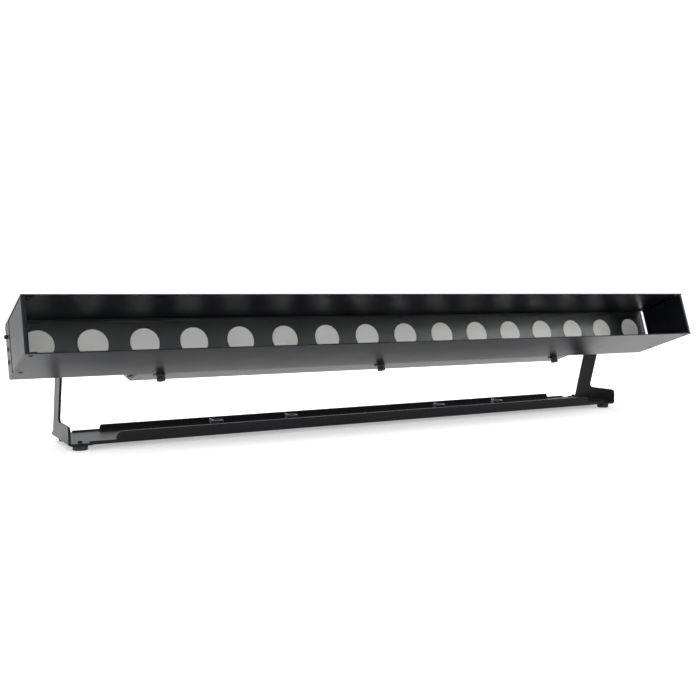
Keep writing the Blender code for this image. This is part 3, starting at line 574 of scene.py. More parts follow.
def makeFlaps():
    holes = [circle(place, hood["rivetHole"], 24) for place in rivetPlaces]
    rim = rectangle(topLow.x, topLow.y, topHigh.x, topHigh.y)
    corners, radii = rim[:3], [0, 0, 0]
    for knob in reversed(knobPlaces):
        right, left, corner = knob.x + hood["earHalf"], knob.x - hood["earHalf"], hood["earCorner"]
        corners += [(right, topHigh.y), (right, bottomHigh.y), (left, bottomHigh.y), (left, topHigh.y)]
        radii += [corner / 2, corner, corner, corner / 2]
    eared = rounded(corners + rim[3:], radii + [0])
    knobHoles = [circle((knob.x, knob.y), hood["knobHole"], 24) for knob in knobPlaces]
    for name, node, outlines, low, high in (
        ("hoodTopFlap", "hood_top_flap", [rim] + holes, topLow, topHigh),
        ("hoodBottomFlap", "hood_bottom_flap", [eared] + holes + knobHoles, bottomLow, bottomHigh),
    ):
        place = headPlace @ shift(0, 0, (low.z + high.z) / 2)
        piece(name, [(plate(outlines, hood["sheet"]), place, powderCoat)], "black_powder_coat", node)


def makeSidePanels():
    dome = domeHead(hood["rivetRadius"], hood["rivetHeight"])
    sheet, half, bend = hood["sheet"], hood["sheet"] / 2, hood["bend"]
    outer, tip = topHigh.x - half, topHigh.x - hood["tab"]
    tabTop = topLow.z - hood["clearance"] - half
    for side, label in sideNames.items():
        low, high = headBox(f"hood_side_{label}")
        front, rim = low.y + hood["lipBend"], low.y + half
        channel = plate([bentStrip(rectangle(tip, -tabTop, outer, tabTop), sheet, bend)], high.y - front)
        channel = moved(channel, shift(0, (front + high.y) / 2, 0) @ alongY)
        path = [(outer - hood["lip"], rim), (outer, rim), (outer, rim + 2 * hood["lipBend"])]
        lip = plate([bentStrip(path, sheet - 2 * fuse, bend)], 2 * tabTop + sheet)
        panel = forSide(boolean(channel, [lip], "UNION"), side)
        seats = []
        for x, y in rivetPlaces:
            if x * side > 0:
                seats += [((x, y, topHigh.z), up), ((x, y, bottomLow.z), down)]
                seats += [((x, y, tabTop - half), down), ((x, y, half - tabTop), up)]
        piece(f"hoodSide_{label}", [(panel, headPlace, powderCoat), fasteners(dome, seats, powderCoat)],
              "black_powder_coat", f"hood_side_{label}")


makeFlaps()
makeSidePanels()
print("hood made")


# Finned extrusion that holds the lamp board, closed by a cap at each end
housing = {
    "wall": 0.002, "backWall": 0.0026, "rimCorner": 0.0004, "innerCorner": 0.0008,
    "finCorner": 0.0006, "finCount": 7, "finPitch": 0.008, "finThickness": 0.002, "finTaper": 0.12,
    "finLength": 0.01, "capThickness": 0.0025, "capTopBand": 0.001, "capCorner": 0.0015,
    "capEdge": 0.0006,
    "capScrewRadius": 0.0025,

       "capScrews": ((0.016, 0.0034), (0.001, 0.0012), (-0.014, 0.0012)),  # height on the cap, head's height
    "capScrewSetback": 0.016,
}


def makeHousing():
    low, high = headBox("led_housing")
    tip, finWidth, skin = high.y, housing["finThickness"], housing["wall"]
    rear = tip - housing["finLength"]
    wall = rear - housing["backWall"]
    rim, fin, inner = housing["rimCorner"], housing["finCorner"], housing["innerCorner"]
    corners, radii = [(low.y, low.z), (rear, low.z)], [rim, fin]
    taper = finWidth * housing["finTaper"]
    for i in range(housing["finCount"]):
        centre = (i - (housing["finCount"] - 1) / 2) * housing["finPitch"]
        bottom, top = centre - finWidth / 2, centre + finWidth / 2
        corners += [(rear, bottom), (tip, bottom + taper), (tip, top - taper), (rear, top)]
        radii += [fin] * 4
    corners += [(rear, high.z), (low.y, high.z), (low.y, high.z - skin), (wall, high.z - skin)]
    corners += [(wall, low.z + skin), (low.y, low.z + skin)]
    radii += [fin, rim, rim, inner, inner, rim]
    extrusion = plate([rounded(corners, radii, 4)], high.x - low.x, crispEdge)
    piece("ledHousing", [(extrusion, headPlace @ alongX, anodised)], "black_anodised", "led_housing")
    for side, label in sideNames.items():
        node = f"end_cap_{label}"
        low, high = headBox(node)
        # The cap's outer face is read along its top edge, since its screws stand further out
        edge = high.z - housing["capTopBand"]
        outer = side * max(side * corner.x for corner in headCorners(node) if corner.z > edge)
        thickness = housing["capThickness"]
        rim = rounded(rectangle(low.y, low.z, high.y, high.z), housing["capCorner"])
        cap = plate([rim], thickness, housing["capEdge"])
        parts = [(cap, headPlace @ shift(outer - side * thickness / 2, 0, 0) @ alongX, powderCoat)]
        for rise, height in housing["capScrews"]:
            seat = ((outer, low.y + housing["capScrewSetback"], rise), (side, 0, 0))
            parts.append(fasteners(panHead(housing["capScrewRadius"], height), [seat], blackOxide))
        piece(f"endCap_{label}", parts, "black_powder_coat", node)


makeHousing()
print("housing made")


# What shows through the front window: mask, lenses, glass and seal
optics = {
    "count": 16, "pitch": 0.0625, "lift": 0.0016, "radius": 0.018, "holeRadius": 0.0183,
    "holeSides": 72, "rimWidth": 0.0011, "rimDepth": 0.0005, "crown": 0.0006, "edge": 0.0002,
    "skirt": 0.002, "shoulder": 0.0022, "backRadius": 0.006, "paneCorner": 0.001,
    "sealWidth": 0.003, "sealCorner": 0.0015,
}


def rowOfCopies(tree, shape, count, pitch, lift=0):
    # Copies of a shape along X, centred on zero
    fewer = addNode(tree, "ShaderNodeMath", {0: count, 1: 1}, operation="SUBTRACT")
    span = addNode(tree, "ShaderNodeMath", {0: fewer.outputs[0], 1: pitch}, operation="MULTIPLY")
    first = addNode(tree, "ShaderNodeMath", {0: span.outputs[0], 1: -0.5}, operation="MULTIPLY")
    start = addNode(tree, "ShaderNodeCombineXYZ", {"X": first.outputs[0], "Y": lift})
    step = addNode(tree, "ShaderNodeCombineXYZ", {"X": pitch})
    points = addNode(tree, "GeometryNodeMeshLine", {
        "Count": count, "Start Location": start.outputs[0], "Offset": step.outputs[0],
    }, mode="OFFSET")
    return addNode(tree, "GeometryNodeInstanceOnPoints", {
        "Points": points.outputs[0], "Instance": shape,
    }).outputs["Instances"]


def maskTree():
    # A flat plate pierced by a row of round holes
    tree, given = newTree("piercedMask", {
        "Count": "Int", "Pitch": "Float", "Lift": "Float", "Hole Radius": "Float", "Hole Sides": "Int",
        "Length": "Float", "Height": "Float", "Thickness": "Float", "Finish": "Material",
    })
    rim = addNode(tree, "GeometryNodeCurvePrimitiveQuadrilateral", {
        "Width": given["Length"], "Height": given["Height"],
    })
    hole = addNode(tree, "GeometryNodeCurvePrimitiveCircle", {
        "Resolution": given["Hole Sides"], "Radius": given["Hole Radius"],
    })
    holes = rowOfCopies(tree, hole.outputs["Curve"], given["Count"], given["Pitch"], given["Lift"])
    realHoles = addNode(tree, "GeometryNodeRealizeInstances", {"Geometry": holes})
    both = addNode(tree, "GeometryNodeJoinGeometry", {0: rim.outputs["Curve"]})
    tree.links.new(realHoles.outputs[0], both.inputs[0])
    filled = addNode(tree, "GeometryNodeFillCurve", {"Curve": both.outputs[0]})
    raised = addNode(tree, "GeometryNodeExtrudeMesh", {
        "Mesh": filled.outputs[0], "Offset Scale": given["Thickness"], "Individual": False,
    })
    under = addNode(tree, "GeometryNodeFlipFaces", {"Mesh": filled.outputs[0]})
    shell = addNode(tree, "GeometryNodeJoinGeometry", {0: raised.outputs["Mesh"]})
    tree.links.new(under.outputs[0], shell.inputs[0])
    return closeTree(tree, shell.outputs[0], given["Finish"])


def rowTree():
    # One shape repeated along a straight row
    tree, given = newTree("straightRow", {
        "Shape": "Object", "Count": "Int", "Pitch": "Float", "Finish": "Material",
    })
    shape = addNode(tree, "GeometryNodeObjectInfo", {"Object": given["Shape"]})
    copies = rowOfCopies(tree, shape.outputs["Geometry"], given["Count"], given["Pitch"])
    return closeTree(tree, copies, given["Finish"])


def makeLenses():
    low, high = headBox("lens_01")
    depth = high.y - low.y
    rim, radius, edge = optics["rimWidth"], optics["radius"], optics["edge"]
    # A low crown inside a narrow sunk rim, then the skirt and the cone behind the mask
    profile = [(0, 0)] + [(share * (radius - rim), optics["crown"] * share ** 2) for share in (0.35, 0.7, 1)]
    profile += [(radius - rim * 0.8, optics["rimDepth"]), (radius - rim * 0.6, 0), (radius - edge, 0)]
    profile += [(radius, edge), (radius, optics["skirt"]), (radius * 0.93, optics["shoulder"])]
    profile += [(radius * 0.8, depth * 0.62), (optics["backRadius"], depth), (0, depth)]
    pattern = held(turned(profile, 56), "rowPattern")
    lenses = grow(rowTree(), bpy.data.meshes.new("rowSeat"), {
        "Shape": pattern, "Count": optics["count"], "Pitch": optics["pitch"], "Finish": frostedAcrylic,
    })
    bpy.data.objects.remove(pattern)
    place = headPlace @ shift(0, low.y, optics["lift"]) @ facing["+Y"]
    piece("lenses", [(lenses, place, frostedAcrylic)], "frosted_lens",
          *[f"lens_{i:02d}" for i in range(1, optics["count"] + 1)])


def makePane(name, node, material, slot, border=0):
    # A flat pane over the whole face, or only its border
    low, high = headBox(node)
    outlines = [rounded(rectangle(low.x, low.z, high.x, high.z), optics["paneCorner"])]
    if border:
        inner = rectangle(low.x + border, low.z + border, high.x - border, high.z - border)
        outlines.append(rounded(inner, optics["sealCorner"]))
    pane = plate(outlines, high.y - low.y, optics["edge"])
    piece(name, [(pane, headPlace @ shift(0, (low.y + high.y) / 2, 0) @ alongY, material)], slot, node)


def makeOptics():
    low, high = headBox("lens_mask")
    mask = grow(maskTree(), bpy.data.meshes.new("maskSeat"), {
        "Count": optics["count"], "Pitch": optics["pitch"], "Lift": optics["lift"],
        "Hole Radius": optics["holeRadius"], "Hole Sides": optics["holeSides"],
        "Length": high.x - low.x, "Height": high.z - low.z, "Thickness": high.y - low.y, "Finish": maskBlack,
    })
    place = headPlace @ shift(0, high.y, 0) @ alongY
    piece("lensMask", [(mask, place, maskBlack)], "matt_black_mask", "lens_mask")
    makeLenses()
    makePane("frontGlass", "front_glass", windowGlass, "window_glass")
    makePane("glassGasket", "glass_gasket", rubber, "black_rubber", optics["sealWidth"])


makeOptics()
print("optics made")


# Folded cover of the drivers, with its sockets, display and buttons
cover = {
    "sheet": 0.0015, "bend": 0.0022, "flatDepth": 0.0375, "rearHalf": 0.018, "windowGap": 0.0003,
    "windowCorner": 0.0012, "buttonHole": 0.0043, "socketHole": 0.0113, "cut": 0.01,
    "wallFront": 0.0104, "wallInset": 0.0004, "wallGap": 0.0001, "wallSetback": 0.0002,
    "postPlaces": (-0.3275, -0.0785, 0.0865, 0.3275), "screwRadius": 0.0028, "screwHeight": 0.0015,
}


def makeCover():
    low, high = headBox("driver_cover")
    front, rear, bottom, top = low.y, high.y, low.z, high.z
    sheet, half, slope = cover["sheet"], cover["sheet"] / 2, cover["rearHalf"]
    flatEnd = front + cover["flatDepth"]
    path = [(front, bottom + half), (flatEnd, bottom + half), (rear - half, -slope), (rear - half, slope)]
    path += [(flatEnd, top - half), (front, top - half)]
    wrap = moved(plate([bentStrip(path, sheet, cover["bend"])], high.x - low.x, cutEdge), alongX)
    windowLow, windowHigh = headBox("display_window")
    gap, seat = cover["windowGap"], shift(0, rear, 0) @ alongY
    opening = rectangle(windowLow.x - gap, windowLow.z - gap, windowHigh.x + gap, windowHigh.z + gap)
    openings = [rounded(opening, cover["windowCorner"])]
    for i in range(1, 5):
        buttonLow, buttonHigh = headBox(f"menu_button_{i}")
        openings.append(circle(((buttonLow.x + buttonHigh.x) / 2, 0), cover["buttonHole"], 40))
    cutters = [moved(plate([outline], cover["cut"], crispEdge), seat) for outline in openings]
    parts = [(boolean(wrap, cutters, "DIFFERENCE"), headPlace, coverCoat)]
    wallRear, wallFront = rear - sheet - cover["wallInset"], front + cover["wallFront"]
    wallTop, wallBottom = top - sheet - cover["wallGap"], bottom + sheet + cover["wallGap"]
    wallRim = [(wallRear, -slope), (wallRear, slope), (flatEnd, wallTop)]
    wallRim += [(wallFront, wallTop), (wallFront, wallBottom), (flatEnd, wallBottom)]
    for side in sideNames:
        holes = []
        for kind in ("power", "data"):
            low, end = headBox(f"{kind}_{'in' if side < 0 else 'out'}_socket")
            holes.append(circle(((low.y + end.y) / 2, (low.z + end.z) / 2), cover["socketHole"], 40))
        wall = plate([wallRim] + holes, sheet, cutEdge)
        middle = shift(side * (high.x - half - cover["wallSetback"]), 0, 0)
        parts.append((wall, headPlace @ middle @ alongX, coverCoat))
    screw = panHead(cover["screwRadius"], cover["screwHeight"])
    seats = [((x, rear, 0), backward) for x in cover["postPlaces"]]
    parts.append(fasteners(screw, seats, blackOxide))
    piece("driverCover", parts, "black_powder_coat", "driver_cover")


makeCover()
print("cover made")


# Round panel sockets at the ends of the cover, each held by two screws. A socket with pins is open, one
# without has a filled mouth with contact holes.
socket = {
    "flange": 0.0025, "flangeCorner": 0.003, "cavity": 0.009, "cavityDepth": 0.012, "barrel": 0.011,
    "barrelLength": 0.016, "collar": 0.0103, "collarRise": 0.0006, "floorThickness": 0.002,
    "fillDepth": 0.006, "insertLap": 0.0004, "keyWidth": 0.0024, "keyHeight": 0.0012,
    "keyLap": 0.0003, "contactCircle": 0.0048, "pinRadius": 0.0011, "pinLength": 0.006,
    "contactHole": 0.0014, "contactDepth": 0.0045, "contactThickness": 0.001,
    "screwInset": 0.0028, "screwHead": 0.0023,
    "screwHeight": 0.0012,
    "pins": {"power_in": 3, "data_in": 5, "power_out": 3, "data_out": 0},
}


def makeSocket(name, pins):
    low, high = headBox(f"{name}_socket")
    side = 1 if high.x > 0 else -1
    face = (high.x if side > 0 else -low.x) - socket["screwHeight"]
    wide, tall = (high.y - low.y) / 2, (high.z - low.z) / 2
    outward = shift(side * face, (low.y + high.y) / 2, (low.z + high.z) / 2) @ alongX
    if side < 0:
        outward = outward @ Matrix.Rotation(math.pi, 4, "X") @ Matrix.Rotation(math.pi, 4, "Z")
    thickness, length, cavity = socket["flange"], socket["barrelLength"], socket["cavity"]
    bore = [circle((0, 0), cavity, 56)] if pins else []
    rim = rounded(rectangle(-wide, -tall, wide, tall), socket["flangeCorner"])
    parts = [
        (plate([rim] + bore, thickness, softEdge), shift(0, 0, -thickness / 2), nylon),
        (disc(socket["collar"], socket["collarRise"] * 2, cutEdge, 56, bore), still, nylon),
        (disc(socket["barrel"], length, cutEdge, 40, bore), shift(0, 0, -thickness - length / 2), nylon),
    ]
    turns = [math.tau * i / 5 for i in range(pins or 5)]
    spread = socket["contactCircle"]
    places = [(spread * math.cos(turn), spread * math.sin(turn)) for turn in turns]
    if pins:
        top = contactSeat = -socket["cavityDepth"]
        depth, holes, insertFinish = socket["floorThickness"], [], maskBlack
        tip, pinTop = socket["pinRadius"], socket["pinLength"]
        contact = turned([(0, -tip), (tip, -tip), (tip, pinTop - tip), (tip * 0.6, pinTop), (0, pinTop)], 20)
    else:
        top, contactSeat, hole = socket["collarRise"], -socket["contactDepth"], socket["contactHole"]
        depth, insertFinish = top + socket["fillDepth"], nylon
        holes = [circle(place, hole, 20) for place in places]
        under = -socket["contactThickness"]
        contact = turned([(0, under), (hole, under), (hole, 0), (0, 0)], 16)
    insert = disc(cavity + socket["insertLap"], depth, crispEdge, 56, holes)
    parts.append((insert, shift(0, 0, top - depth / 2), insertFinish))
    seats = [((x, y, contactSeat), up) for x, y in places]
    parts.append(fasteners(contact, seats, contactMetal, still))
    if pins:
        half, edge = socket["keyWidth"] / 2, cavity + socket["keyLap"]
        key = plate([rectangle(-half, edge - socket["keyHeight"], half, edge)], -top, cutEdge)
        parts.append((key, shift(0, 0, top / 2), nylon))
    reachY, reachZ = side * (wide - socket["screwInset"]), tall - socket["screwInset"]
    screw = panHead(socket["screwHead"], socket["screwHeight"])
    parts.append(fasteners(screw, [((-reachY, reachZ, 0), up), ((reachY, -reachZ, 0), up)], zinc, still))
    whole = [(mesh, headPlace @ outward @ place, material) for mesh, place, material in parts]
    piece(f"{name}_panelSocket", whole, "black_moulded", f"{name}_socket")


for socketName, pinCount in socket["pins"].items():
    makeSocket(socketName, pinCount)
print("sockets made")


# Display window and the four buttons of the menu
panel = {
    "corner": 0.0012, "screenCorner": 0.0006, "screenBorder": 0.004, "screenRecess": 0.0004,
    "buttonRadius": 0.004, "buttonDome": 0.0006,
    # Shares of the button's radius, and of its dome's height below the top
    "domeShares": ((1, 1), (0.96, 0.55), (0.85, 0.25), (0.55, 0.05)),
    "collar": 0.0052, "collarThickness": 0.0012,
}


def makeMenu():
    low, high = headBox("display_window")
    middle, border, thickness = (low.x + high.x) / 2, panel["screenBorder"], high.y - low.y
    rim = rounded(rectangle(low.x - middle, low.z, high.x - middle, high.z), panel["corner"])
    wide, tall = high.x - middle - border, high.z - border / 2
    screen = rounded(rectangle(-wide, -tall, wide, tall), panel["screenCorner"])
    window = plate([rim, screen], thickness, cutEdge)
    glass = plate([screen], thickness - 2 * panel["screenRecess"], 0)
    place = headPlace @ shift(middle, (low.y + high.y) / 2, 0) @ alongY
    piece("displayWindow", [(window, place, displayAcrylic), (glass, place, liquidCrystal)],
          "display_cover", "display_window")
    radius, dome, collar = panel["buttonRadius"], panel["buttonDome"], panel["collar"]
    for i in range(1, 5):
        name = f"menu_button_{i}"
        low, high = headBox(name)
        collarTop = low.y + panel["collarThickness"]
        profile = [(0, low.y), (collar, low.y), (collar, collarTop), (radius, collarTop)]
        profile += [(radius * out, high.y - dome * under) for out, under in panel["domeShares"]]
        cap = turned(profile + [(0, high.y)], 40)
        place = headPlace @ shift((low.x + high.x) / 2, 0, (low.z + high.z) / 2) @ facing["+Y"]
        piece(f"menuButton_{i}", [(cap, place, nylon)], "black_moulded", name, body=name)


makeMenu()
print("menu made")


# Knurled thumbscrews along the hood's lower edge
thumbscrew = {
    "height": 0.0075, "collar": 0.0058, "collarHeight": 0.0016, "collarEdge": 0.0003,
    "waist": 0.0044, "waistHeight": 0.0012, "grip": 0.0055, "gripEdge": 0.0005, "teeth": 30,
    "toothDepth": 0.0004, "shank": 0.0022, "shankTip": 0.0005, "reach": 0.0065, "dish": 0.0032,
    "dishDepth": 0.0006, "lap": 0.001,
}


def toothed(radius, teeth, depth, steps=4):
    # A closed outline whose radius rises and falls once for each tooth
    outline = []
    for i in range(teeth * steps):
        turn = math.tau * i / (teeth * steps)
        reach = radius - depth * (1 - math.cos(teeth * turn)) / 2
        outline.append((reach * math.cos(turn), reach * math.sin(turn)))
    return outline


def makeThumbscrews():
    height, lap, collarEnd = thumbscrew["height"], thumbscrew["lap"], thumbscrew["collarHeight"]
    gripTop = collarEnd + thumbscrew["waistHeight"]
    gripLength = height - gripTop
    outline = toothed(thumbscrew["grip"], thumbscrew["teeth"], thumbscrew["toothDepth"])
    grip = plate([outline], gripLength, thumbscrew["gripEdge"], 1)
    dish, floor = thumbscrew["dish"], thumbscrew["dishDepth"] - height
    hollow = turned([(0, -height - lap), (dish, -height - lap), (dish * 0.8, floor), (0, floor)], 32)
    grip = boolean(moved(grip, shift(0, 0, -gripTop - gripLength / 2)), [hollow], "DIFFERENCE")
    collar, waist, edge = thumbscrew["collar"], thumbscrew["waist"], thumbscrew["collarEdge"]
    shank, reach = thumbscrew["shank"], thumbscrew["reach"]
    core = turned([
        (0, -gripTop - lap), (waist, -gripTop - lap), (waist, -collarEnd), (collar - edge, -collarEnd),
        (collar, edge - collarEnd), (collar, -edge), (collar - edge, 0), (shank, 0),
        (shank, reach - thumbscrew["shankTip"]), (shank * 0.75, reach), (0, reach),
    ], 40)
    for i, knob in enumerate(knobPlaces, 1):
        seat, node = headPlace @ shift(*knob), f"hood_knob_{i}"
        parts = [(grip, seat, nylon), (core, seat, nylon)]
        piece(f"hoodThumbscrew_{i}", parts, "black_moulded", node, body=node)


makeThumbscrews()
print("thumbscrews made")


# Tilt pivots: a lug screwed to the housing, a fibre washer, and a lobed knob on its stud
tilt = {
    "lugSheet": 0.004, "lugRadius": 0.014, "lugHalfHeight": 0.02, "lugRise": 0.014,
    "footWidth": 0.034, "noseStart": 0.009, "bend": 0.005, "studHole": 0.0043, "drill": 0.04,
    "nutRadius": 0.0075, "nutThickness": 0.0052, "nutEdge": 0.0004, "lap": 0.001,
    "screwOffsets": (0.012, 0.026),
    "screwRise": 0.012, "screwHead": 0.0035, "screwHeight": 0.0024, "washerRadius": 0.014,
    "washerEdge": 0.0002, "knobRadius": 0.016, "knobLobes": 6, "knobDip": 0.003, "knobEdge": 0.0014,
    "hubRadius": 0.0095, "hubLength": 0.0045, "hubEdge": 0.0004, "capRadius": 0.0075,
    "capDepth": 0.001,
    "capProfile": ((0, 0.003), (0.0069, 0.003), (0.0069, 0.0007), (0.0063, 0.0003), (0, 0.0002)),
    "studRadius": 0.004, "studEdge": 0.0006, "studLap": 0.002, "clearance": 0.0003,
}


def makeLug(side, label):
    low, high = headBox(f"pivot_lug_{label}")
    sheet, tall = tilt["lugSheet"], tilt["lugHalfHeight"]
    outer = high.x if side > 0 else -low.x
    middle, foot = outer - sheet / 2, low.y + sheet / 2
    path = [(outer - tilt["footWidth"], foot), (middle, foot), (middle, foot + tilt["lugRise"])]
    bracket = plate([bentStrip(path, sheet, tilt["bend"])], 2 * tall, softEdge)
    start = low.y + tilt["noseStart"]
    nose = [(start, -tall + fuse)] + arc((0, 0), tilt["lugRadius"], -90, 90, 24) + [(start, tall - fuse)]
    flat = moved(plate([nose], sheet - 2 * fuse, softEdge), shift(middle, 0, 0) @ alongX)
    nut = disc(tilt["nutRadius"], tilt["nutThickness"] + tilt["lap"], tilt["nutEdge"], 6)
    nut = moved(nut, shift(outer - sheet - tilt["nutThickness"] / 2 + tilt["lap"] / 2, 0, 0) @ alongX)
    hole = moved(disc(tilt["studHole"], tilt["drill"], 0, 40), shift(outer, 0, 0) @ alongX)
    lug = forSide(boolean(boolean(bracket, [flat, nut], "UNION"), [hole], "DIFFERENCE"), side)
    seats = [
        ((side * (outer - offset), low.y + sheet, rise * tilt["screwRise"]), backward)
        for offset in tilt["screwOffsets"] for rise in (-1, 1)
    ]
    screws = fasteners(panHead(tilt["screwHead"], tilt["screwHeight"]), seats, blackOxide)
    piece(f"pivotLug_{label}", [(lug, headPlace, powderCoat), screws], "black_powder_coat",
          f"pivot_lug_{label}")


def makeWasher(label, axle):
    low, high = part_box(f"friction_washer_{label}")
    inner, outer, edge = tilt["studHole"], tilt["washerRadius"], tilt["washerEdge"]
    half = (high.x - low.x) / 2
    ring = turned([
        (inner, -half), (outer - edge, -half), (outer, edge - half), (outer, half - edge),
        (outer - edge, half), (inner, half), (inner, -half),
    ], 64)
    place = axle @ shift((low.x + high.x) / 2, 0, 0) @ facing["+X"]
    piece(f"frictionWasher_{label}", [(ring, place, fibre)], "fibre", f"friction_washer_{label}", body="yoke")


def makeKnob(side, label, axle):
    node = f"tilt_knob_{label}"
    low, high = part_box(node)
    near = side * joints[f"{node}_turn"]["pos_m"][0] + tilt["clearance"]
    far, tail = (high.x, low.x) if side > 0 else (-low.x, -high.x)
    hub, hubRadius, hubEdge = tilt["hubLength"], tilt["hubRadius"], tilt["hubEdge"]
    stud, studEdge = tilt["studRadius"], tilt["studEdge"]
    grip = plate([toothed(tilt["knobRadius"], tilt["knobLobes"], tilt["knobDip"], 20)],
                 far - near - hub, tilt["knobEdge"], 3)
    grip = moved(grip, shift(0, 0, (near + hub + far) / 2))
    recess = moved(disc(tilt["capRadius"], 2 * tilt["capDepth"]), shift(0, 0, far))
    hubEnd, studEnd = near + hub + tilt["lap"], near + tilt["studLap"]
    collar = [(0, near), (hubRadius - hubEdge, near), (hubRadius, near + hubEdge)]
    collar += [(hubRadius, hubEnd), (0, hubEnd)]
    cap = [(radius, far - depth) for radius, depth in tilt["capProfile"]]
    shaft = [(0, tail), (stud - studEdge, tail), (stud, tail + studEdge), (stud, studEnd), (0, studEnd)]
    place = axle @ facing["+X" if side > 0 else "-X"]
    parts = [
        (boolean(grip, [recess], "DIFFERENCE"), place, nylon), (turned(collar), place, nylon),
        (turned(cap, 40), place, nylon), (turned(shaft, 32), place, zinc),
    ]
    piece(f"tiltKnob_{label}", parts, "black_moulded", node, body=node)


for pivotSide, pivotLabel in sideNames.items():
    makeLug(pivotSide, pivotLabel)
    makeWasher(pivotLabel, shift(0, pivot.y, pivot.z))
    makeKnob(pivotSide, pivotLabel, shift(0, pivot.y, pivot.z))
print("pivots made")


# Yoke bent from one sheet: a tray with a lip and two flanges, and a leaning arm at each end
yoke = {
    "sheet": 0.003, "bend": 0.0026, "bootTop": 0.023, "bootCorner": 0.006, "bootFillet": 0.005,
    "frontRoot": 0.008, "rearRoot": 0.041, "armTop": 0.014, "lipInset": 0.0253, "lipTop": 0.005,
    "flangeInsets": (0.0573, 0.0603), "flangeTops": (0.0145, 0.0105),
    "flangeCorners": (0.008, 0.004), "trimTop": 0.01, "footInset": (0.016, 0.01),
    "footHole": 0.0019, "clampPair": 0.179, "clampSpacing": 0.11, "clampHole": 0.0065,
    "rivetOffset": 0.0142, "rivetHole": 0.0017, "edge": 0.0003,
}
yokeLow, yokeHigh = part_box("yoke_bracket")
clampPlaces = [
    side * yoke["clampPair"] + step * yoke["clampSpacing"] / 2 for side in (-1, 1) for step in (-1, 1)
]


def touching(point, side):
    # Angle of the line from point that touches the arm's round top
    y, z = pivot.y - point[0], pivot.z - point[1]
    return math.degrees(math.atan2(z, y) - side * math.asin(yoke["armTop"] / math.hypot(y, z)))


def armOutline():
    front, bottom, bootTop = yokeLow.y, yoke["sheet"], yoke["bootTop"]
    rearFoot, frontFoot = (yoke["rearRoot"], bottom), (yoke["frontRoot"], bootTop)
    start, end = touching(rearFoot, 1) - 90, touching(frontFoot, -1) + 90
    crown = arc((pivot.y, pivot.z), yoke["armTop"], start, end, 28)
    corners = [(front, bottom), rearFoot] + crown + [frontFoot, (front, bootTop)]
    return rounded(corners, [0] * (2 + len(crown)) + [yoke["bootFillet"], yoke["bootCorner"]], 8)


def makeYoke():
    sheet, half, bend, lipTop = yoke["sheet"], yoke["sheet"] / 2, yoke["bend"], yoke["lipTop"]
    depth, reach = yokeHigh.y, yokeHigh.x
    lipHalf = reach - yoke["lipInset"]
    frontTop, rearTop = yoke["flangeTops"]
    path = [(half - depth, frontTop), (half - depth, half), (depth - half, half), (depth - half, rearTop)]
    tray = moved(plate([bentStrip(path, sheet, bend, 8)], 2 * lipHalf, 0), alongX)
    trims = []
    flanges = zip((-1, 1), yoke["flangeInsets"], yoke["flangeTops"], yoke["flangeCorners"])
    for side, inset, top, corner in flanges:
        flangeHalf, trimTop = reach - inset, top + yoke["trimTop"]
        turn = arc((flangeHalf - corner, top - corner), corner, 90, 0, 10)
        outline = [(turn[0][0], trimTop)] + turn + [(flangeHalf, lipTop), (reach, lipTop), (reach, trimTop)]
        for mirror in (-1, 1):
            trim = plate([[(mirror * x, z) for x, z in outline]], 2 * sheet, 0)
            trims.append(moved(trim, shift(0, side * (depth - half), 0) @ alongY))
    tray = boolean(tray, trims, "DIFFERENCE")
    additions = []
    for side in (-1, 1):
        middle = side * (reach - half)
        path = [(side * (lipHalf - sheet), half), (middle, half), (middle, yoke["bootTop"] / 4)]
        end = plate([bentStrip(path, sheet - 2 * fuse, bend, 8)], 2 * (depth - fuse), 0)
        arm = plate([armOutline()], sheet - 4 * fuse, 0)
        additions += [moved(end, alongY), moved(arm, shift(middle, 0, 0) @ alongX)]
    shape = boolean(tray, additions, "UNION")
    footX, footY = reach - yoke["footInset"][0], depth - yoke["footInset"][1]
    spots = [((x, y), yoke["footHole"]) for x in (-footX, footX) for y in (-footY, footY)]
    for x in clampPlaces:
        spots.append(((x, 0), yoke["clampHole"]))
        spots += [((x + step * yoke["rivetOffset"], 0), yoke["rivetHole"]) for step in (-1, 1)]
    drills = [plate([circle(centre, radius, 32)], 4 * sheet, 0) for centre, radius in spots]
    for side in (-1, 1):
        stud = plate([circle((pivot.y, pivot.z), tilt["studHole"], 40)], 4 * sheet, 0)
        drills.append(moved(stud, shift(side * reach, 0, 0) @ alongX))
    shape = softened(boolean(shape, drills, "DIFFERENCE"), yoke["edge"])
    piece("yokeBracket", [(shape, still, yokeCoat)], "yoke_powder_coat", "yoke_bracket", body="yoke")


makeYoke()
print("yoke made")


# Rubber feet, each moulded round the screw that holds it
foot = {
    "edge": 0.0012, "topEdge": 0.0006, "clearance": 0.0003, "head": 0.0026, "headHeight": 0.0018,
    "headLap": 0.0002, "shank": 0.0016, "dish": 0.006, "dishDepth": 0.0004,
}


def makeFeet():
    screw = panHead(foot["head"], foot["headHeight"])
    edge, topEdge, top = foot["edge"], foot["topEdge"], -foot["clearance"]
    for label in ("front_left", "front_right", "rear_left", "rear_right"):
        low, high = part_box(f"foot_{label}")
        radius, dishTop, seat = (high.x - low.x) / 2, low.z + foot["dishDepth"], high.z - foot["headHeight"]
        profile = [(0, dishTop), (foot["dish"] * 0.9, dishTop), (foot["dish"], low.z)]
        profile += [(radius - edge + x, low.z + edge + z) for x, z in arc((0, 0), edge, -90, 0, 5)]
        profile += [(radius, top - topEdge), (radius - topEdge, top), (foot["shank"], top)]
        pad = turned(profile + [(foot["shank"], seat + foot["headLap"]), (0, seat + foot["headLap"])])
        middle = shift((low.x + high.x) / 2, (low.y + high.y) / 2, 0)
        head = moved(screw.copy(), shift(0, 0, seat))
        piece(f"foot_{label}_pad", [(pad, middle, rubber), (head, middle, blackOxide)], "black_rubber",
              f"foot_{label}", body="yoke")


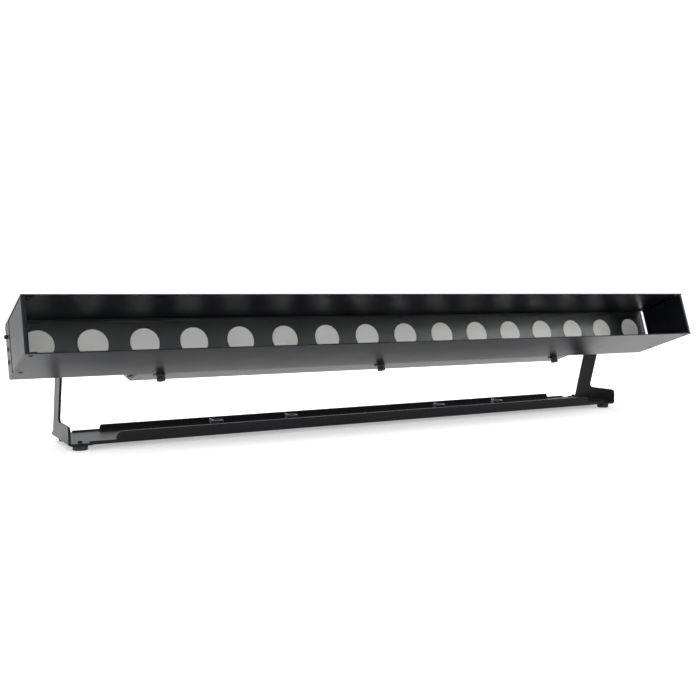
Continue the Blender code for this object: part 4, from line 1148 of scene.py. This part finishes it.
makeFeet()
print("feet made")


# Receptacles for the clamp plates: a riveted spring plate with a cup and a tongue
clip = {
    # How the cup flares onto the plate and rounds over at its mouth: out from its side, up from the level
    "flare": ((0.0006, -0.0008), (0.0002, 0.0004), (0, 0.0012)),
    "mouth": ((0, -0.0012), (-0.0003, -0.0004), (-0.0012, 0)),
    "halfLength": 0.018, "halfWidth": 0.01, "corner": 0.003, "sheet": 0.0015, "cup": 0.009,
    "bore": 0.0048, "cupTop": 0.0128, "cupLap": 0.0008, "boreEdge": 0.0006, "rivetHead": 0.0024,
    "rivetHeight": 0.001,
    "tongue": 0.0008, "tongueBend": 0.0012, "tongueGap": 0.0002, "tongueHalf": 0.0028,
    "tongueTop": 0.015, "clearance": 0.0003,
}


def makeReceptacle(name, x, rivet):
    low = yoke["sheet"] + clip["clearance"]
    top = low + clip["sheet"]
    long, wide, thickness, offset = clip["halfLength"], clip["halfWidth"], clip["tongue"], yoke["rivetOffset"]
    rim = rounded(rectangle(-long, -wide, long, wide), clip["corner"])
    base = plate([rim, circle((0, 0), clip["bore"], 40)], clip["sheet"], cutEdge)
    base = moved(base, shift(0, 0, (low + top) / 2))
    bore, outer, cupTop, edge = clip["bore"], clip["cup"], clip["cupTop"], clip["boreEdge"]
    start = (bore, top - clip["cupLap"])
    side = [(outer + out, top + rise) for out, rise in clip["flare"]]
    side += [(outer + out, cupTop + rise) for out, rise in clip["mouth"]]
    cup = turned([start] + side + [(bore + edge, cupTop), (bore, cupTop - edge), start], 56)
    wall, lying = thickness / 2 - outer - clip["tongueGap"], top + thickness / 2
    path = [(-long + thickness, lying), (wall, lying), (wall, clip["tongueTop"])]
    tongue = plate([bentStrip(path, thickness, clip["tongueBend"])], 2 * clip["tongueHalf"], crispEdge)
    tongue = moved(tongue, alongY)
    seats = [((-offset, 0, top + thickness), up), ((offset, 0, top), up)]
    seats += [((-offset, 0, 0), down), ((offset, 0, 0), down)]
    place = shift(x, 0, 0)
    parts = [(base, place, blackSteel), (cup, place, blackSteel), (tongue, place, zinc)]
    parts.append(fasteners(rivet, seats, zinc, place))
    piece(f"{name}_spring", parts, "blackened_steel", name, body="yoke")


receptacleRivet = domeHead(clip["rivetHead"], clip["rivetHeight"])
for number, clampX in enumerate(clampPlaces, 1):
    makeReceptacle(f"clamp_receptacle_{number}", clampX, receptacleRivet)
print("receptacles made")

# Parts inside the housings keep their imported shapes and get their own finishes
innerFinishes = {
    "led_board": whiteBoard, "control_board": greenBoard, "driver_board": greenBoard,
    "power_supply": galvanised, "wiring_harness": braid,
}
for node, finish in innerFinishes.items():
    for materialSlot in frame["nodes"][node].material_slots:
        materialSlot.material = finish
print("inner parts finished")
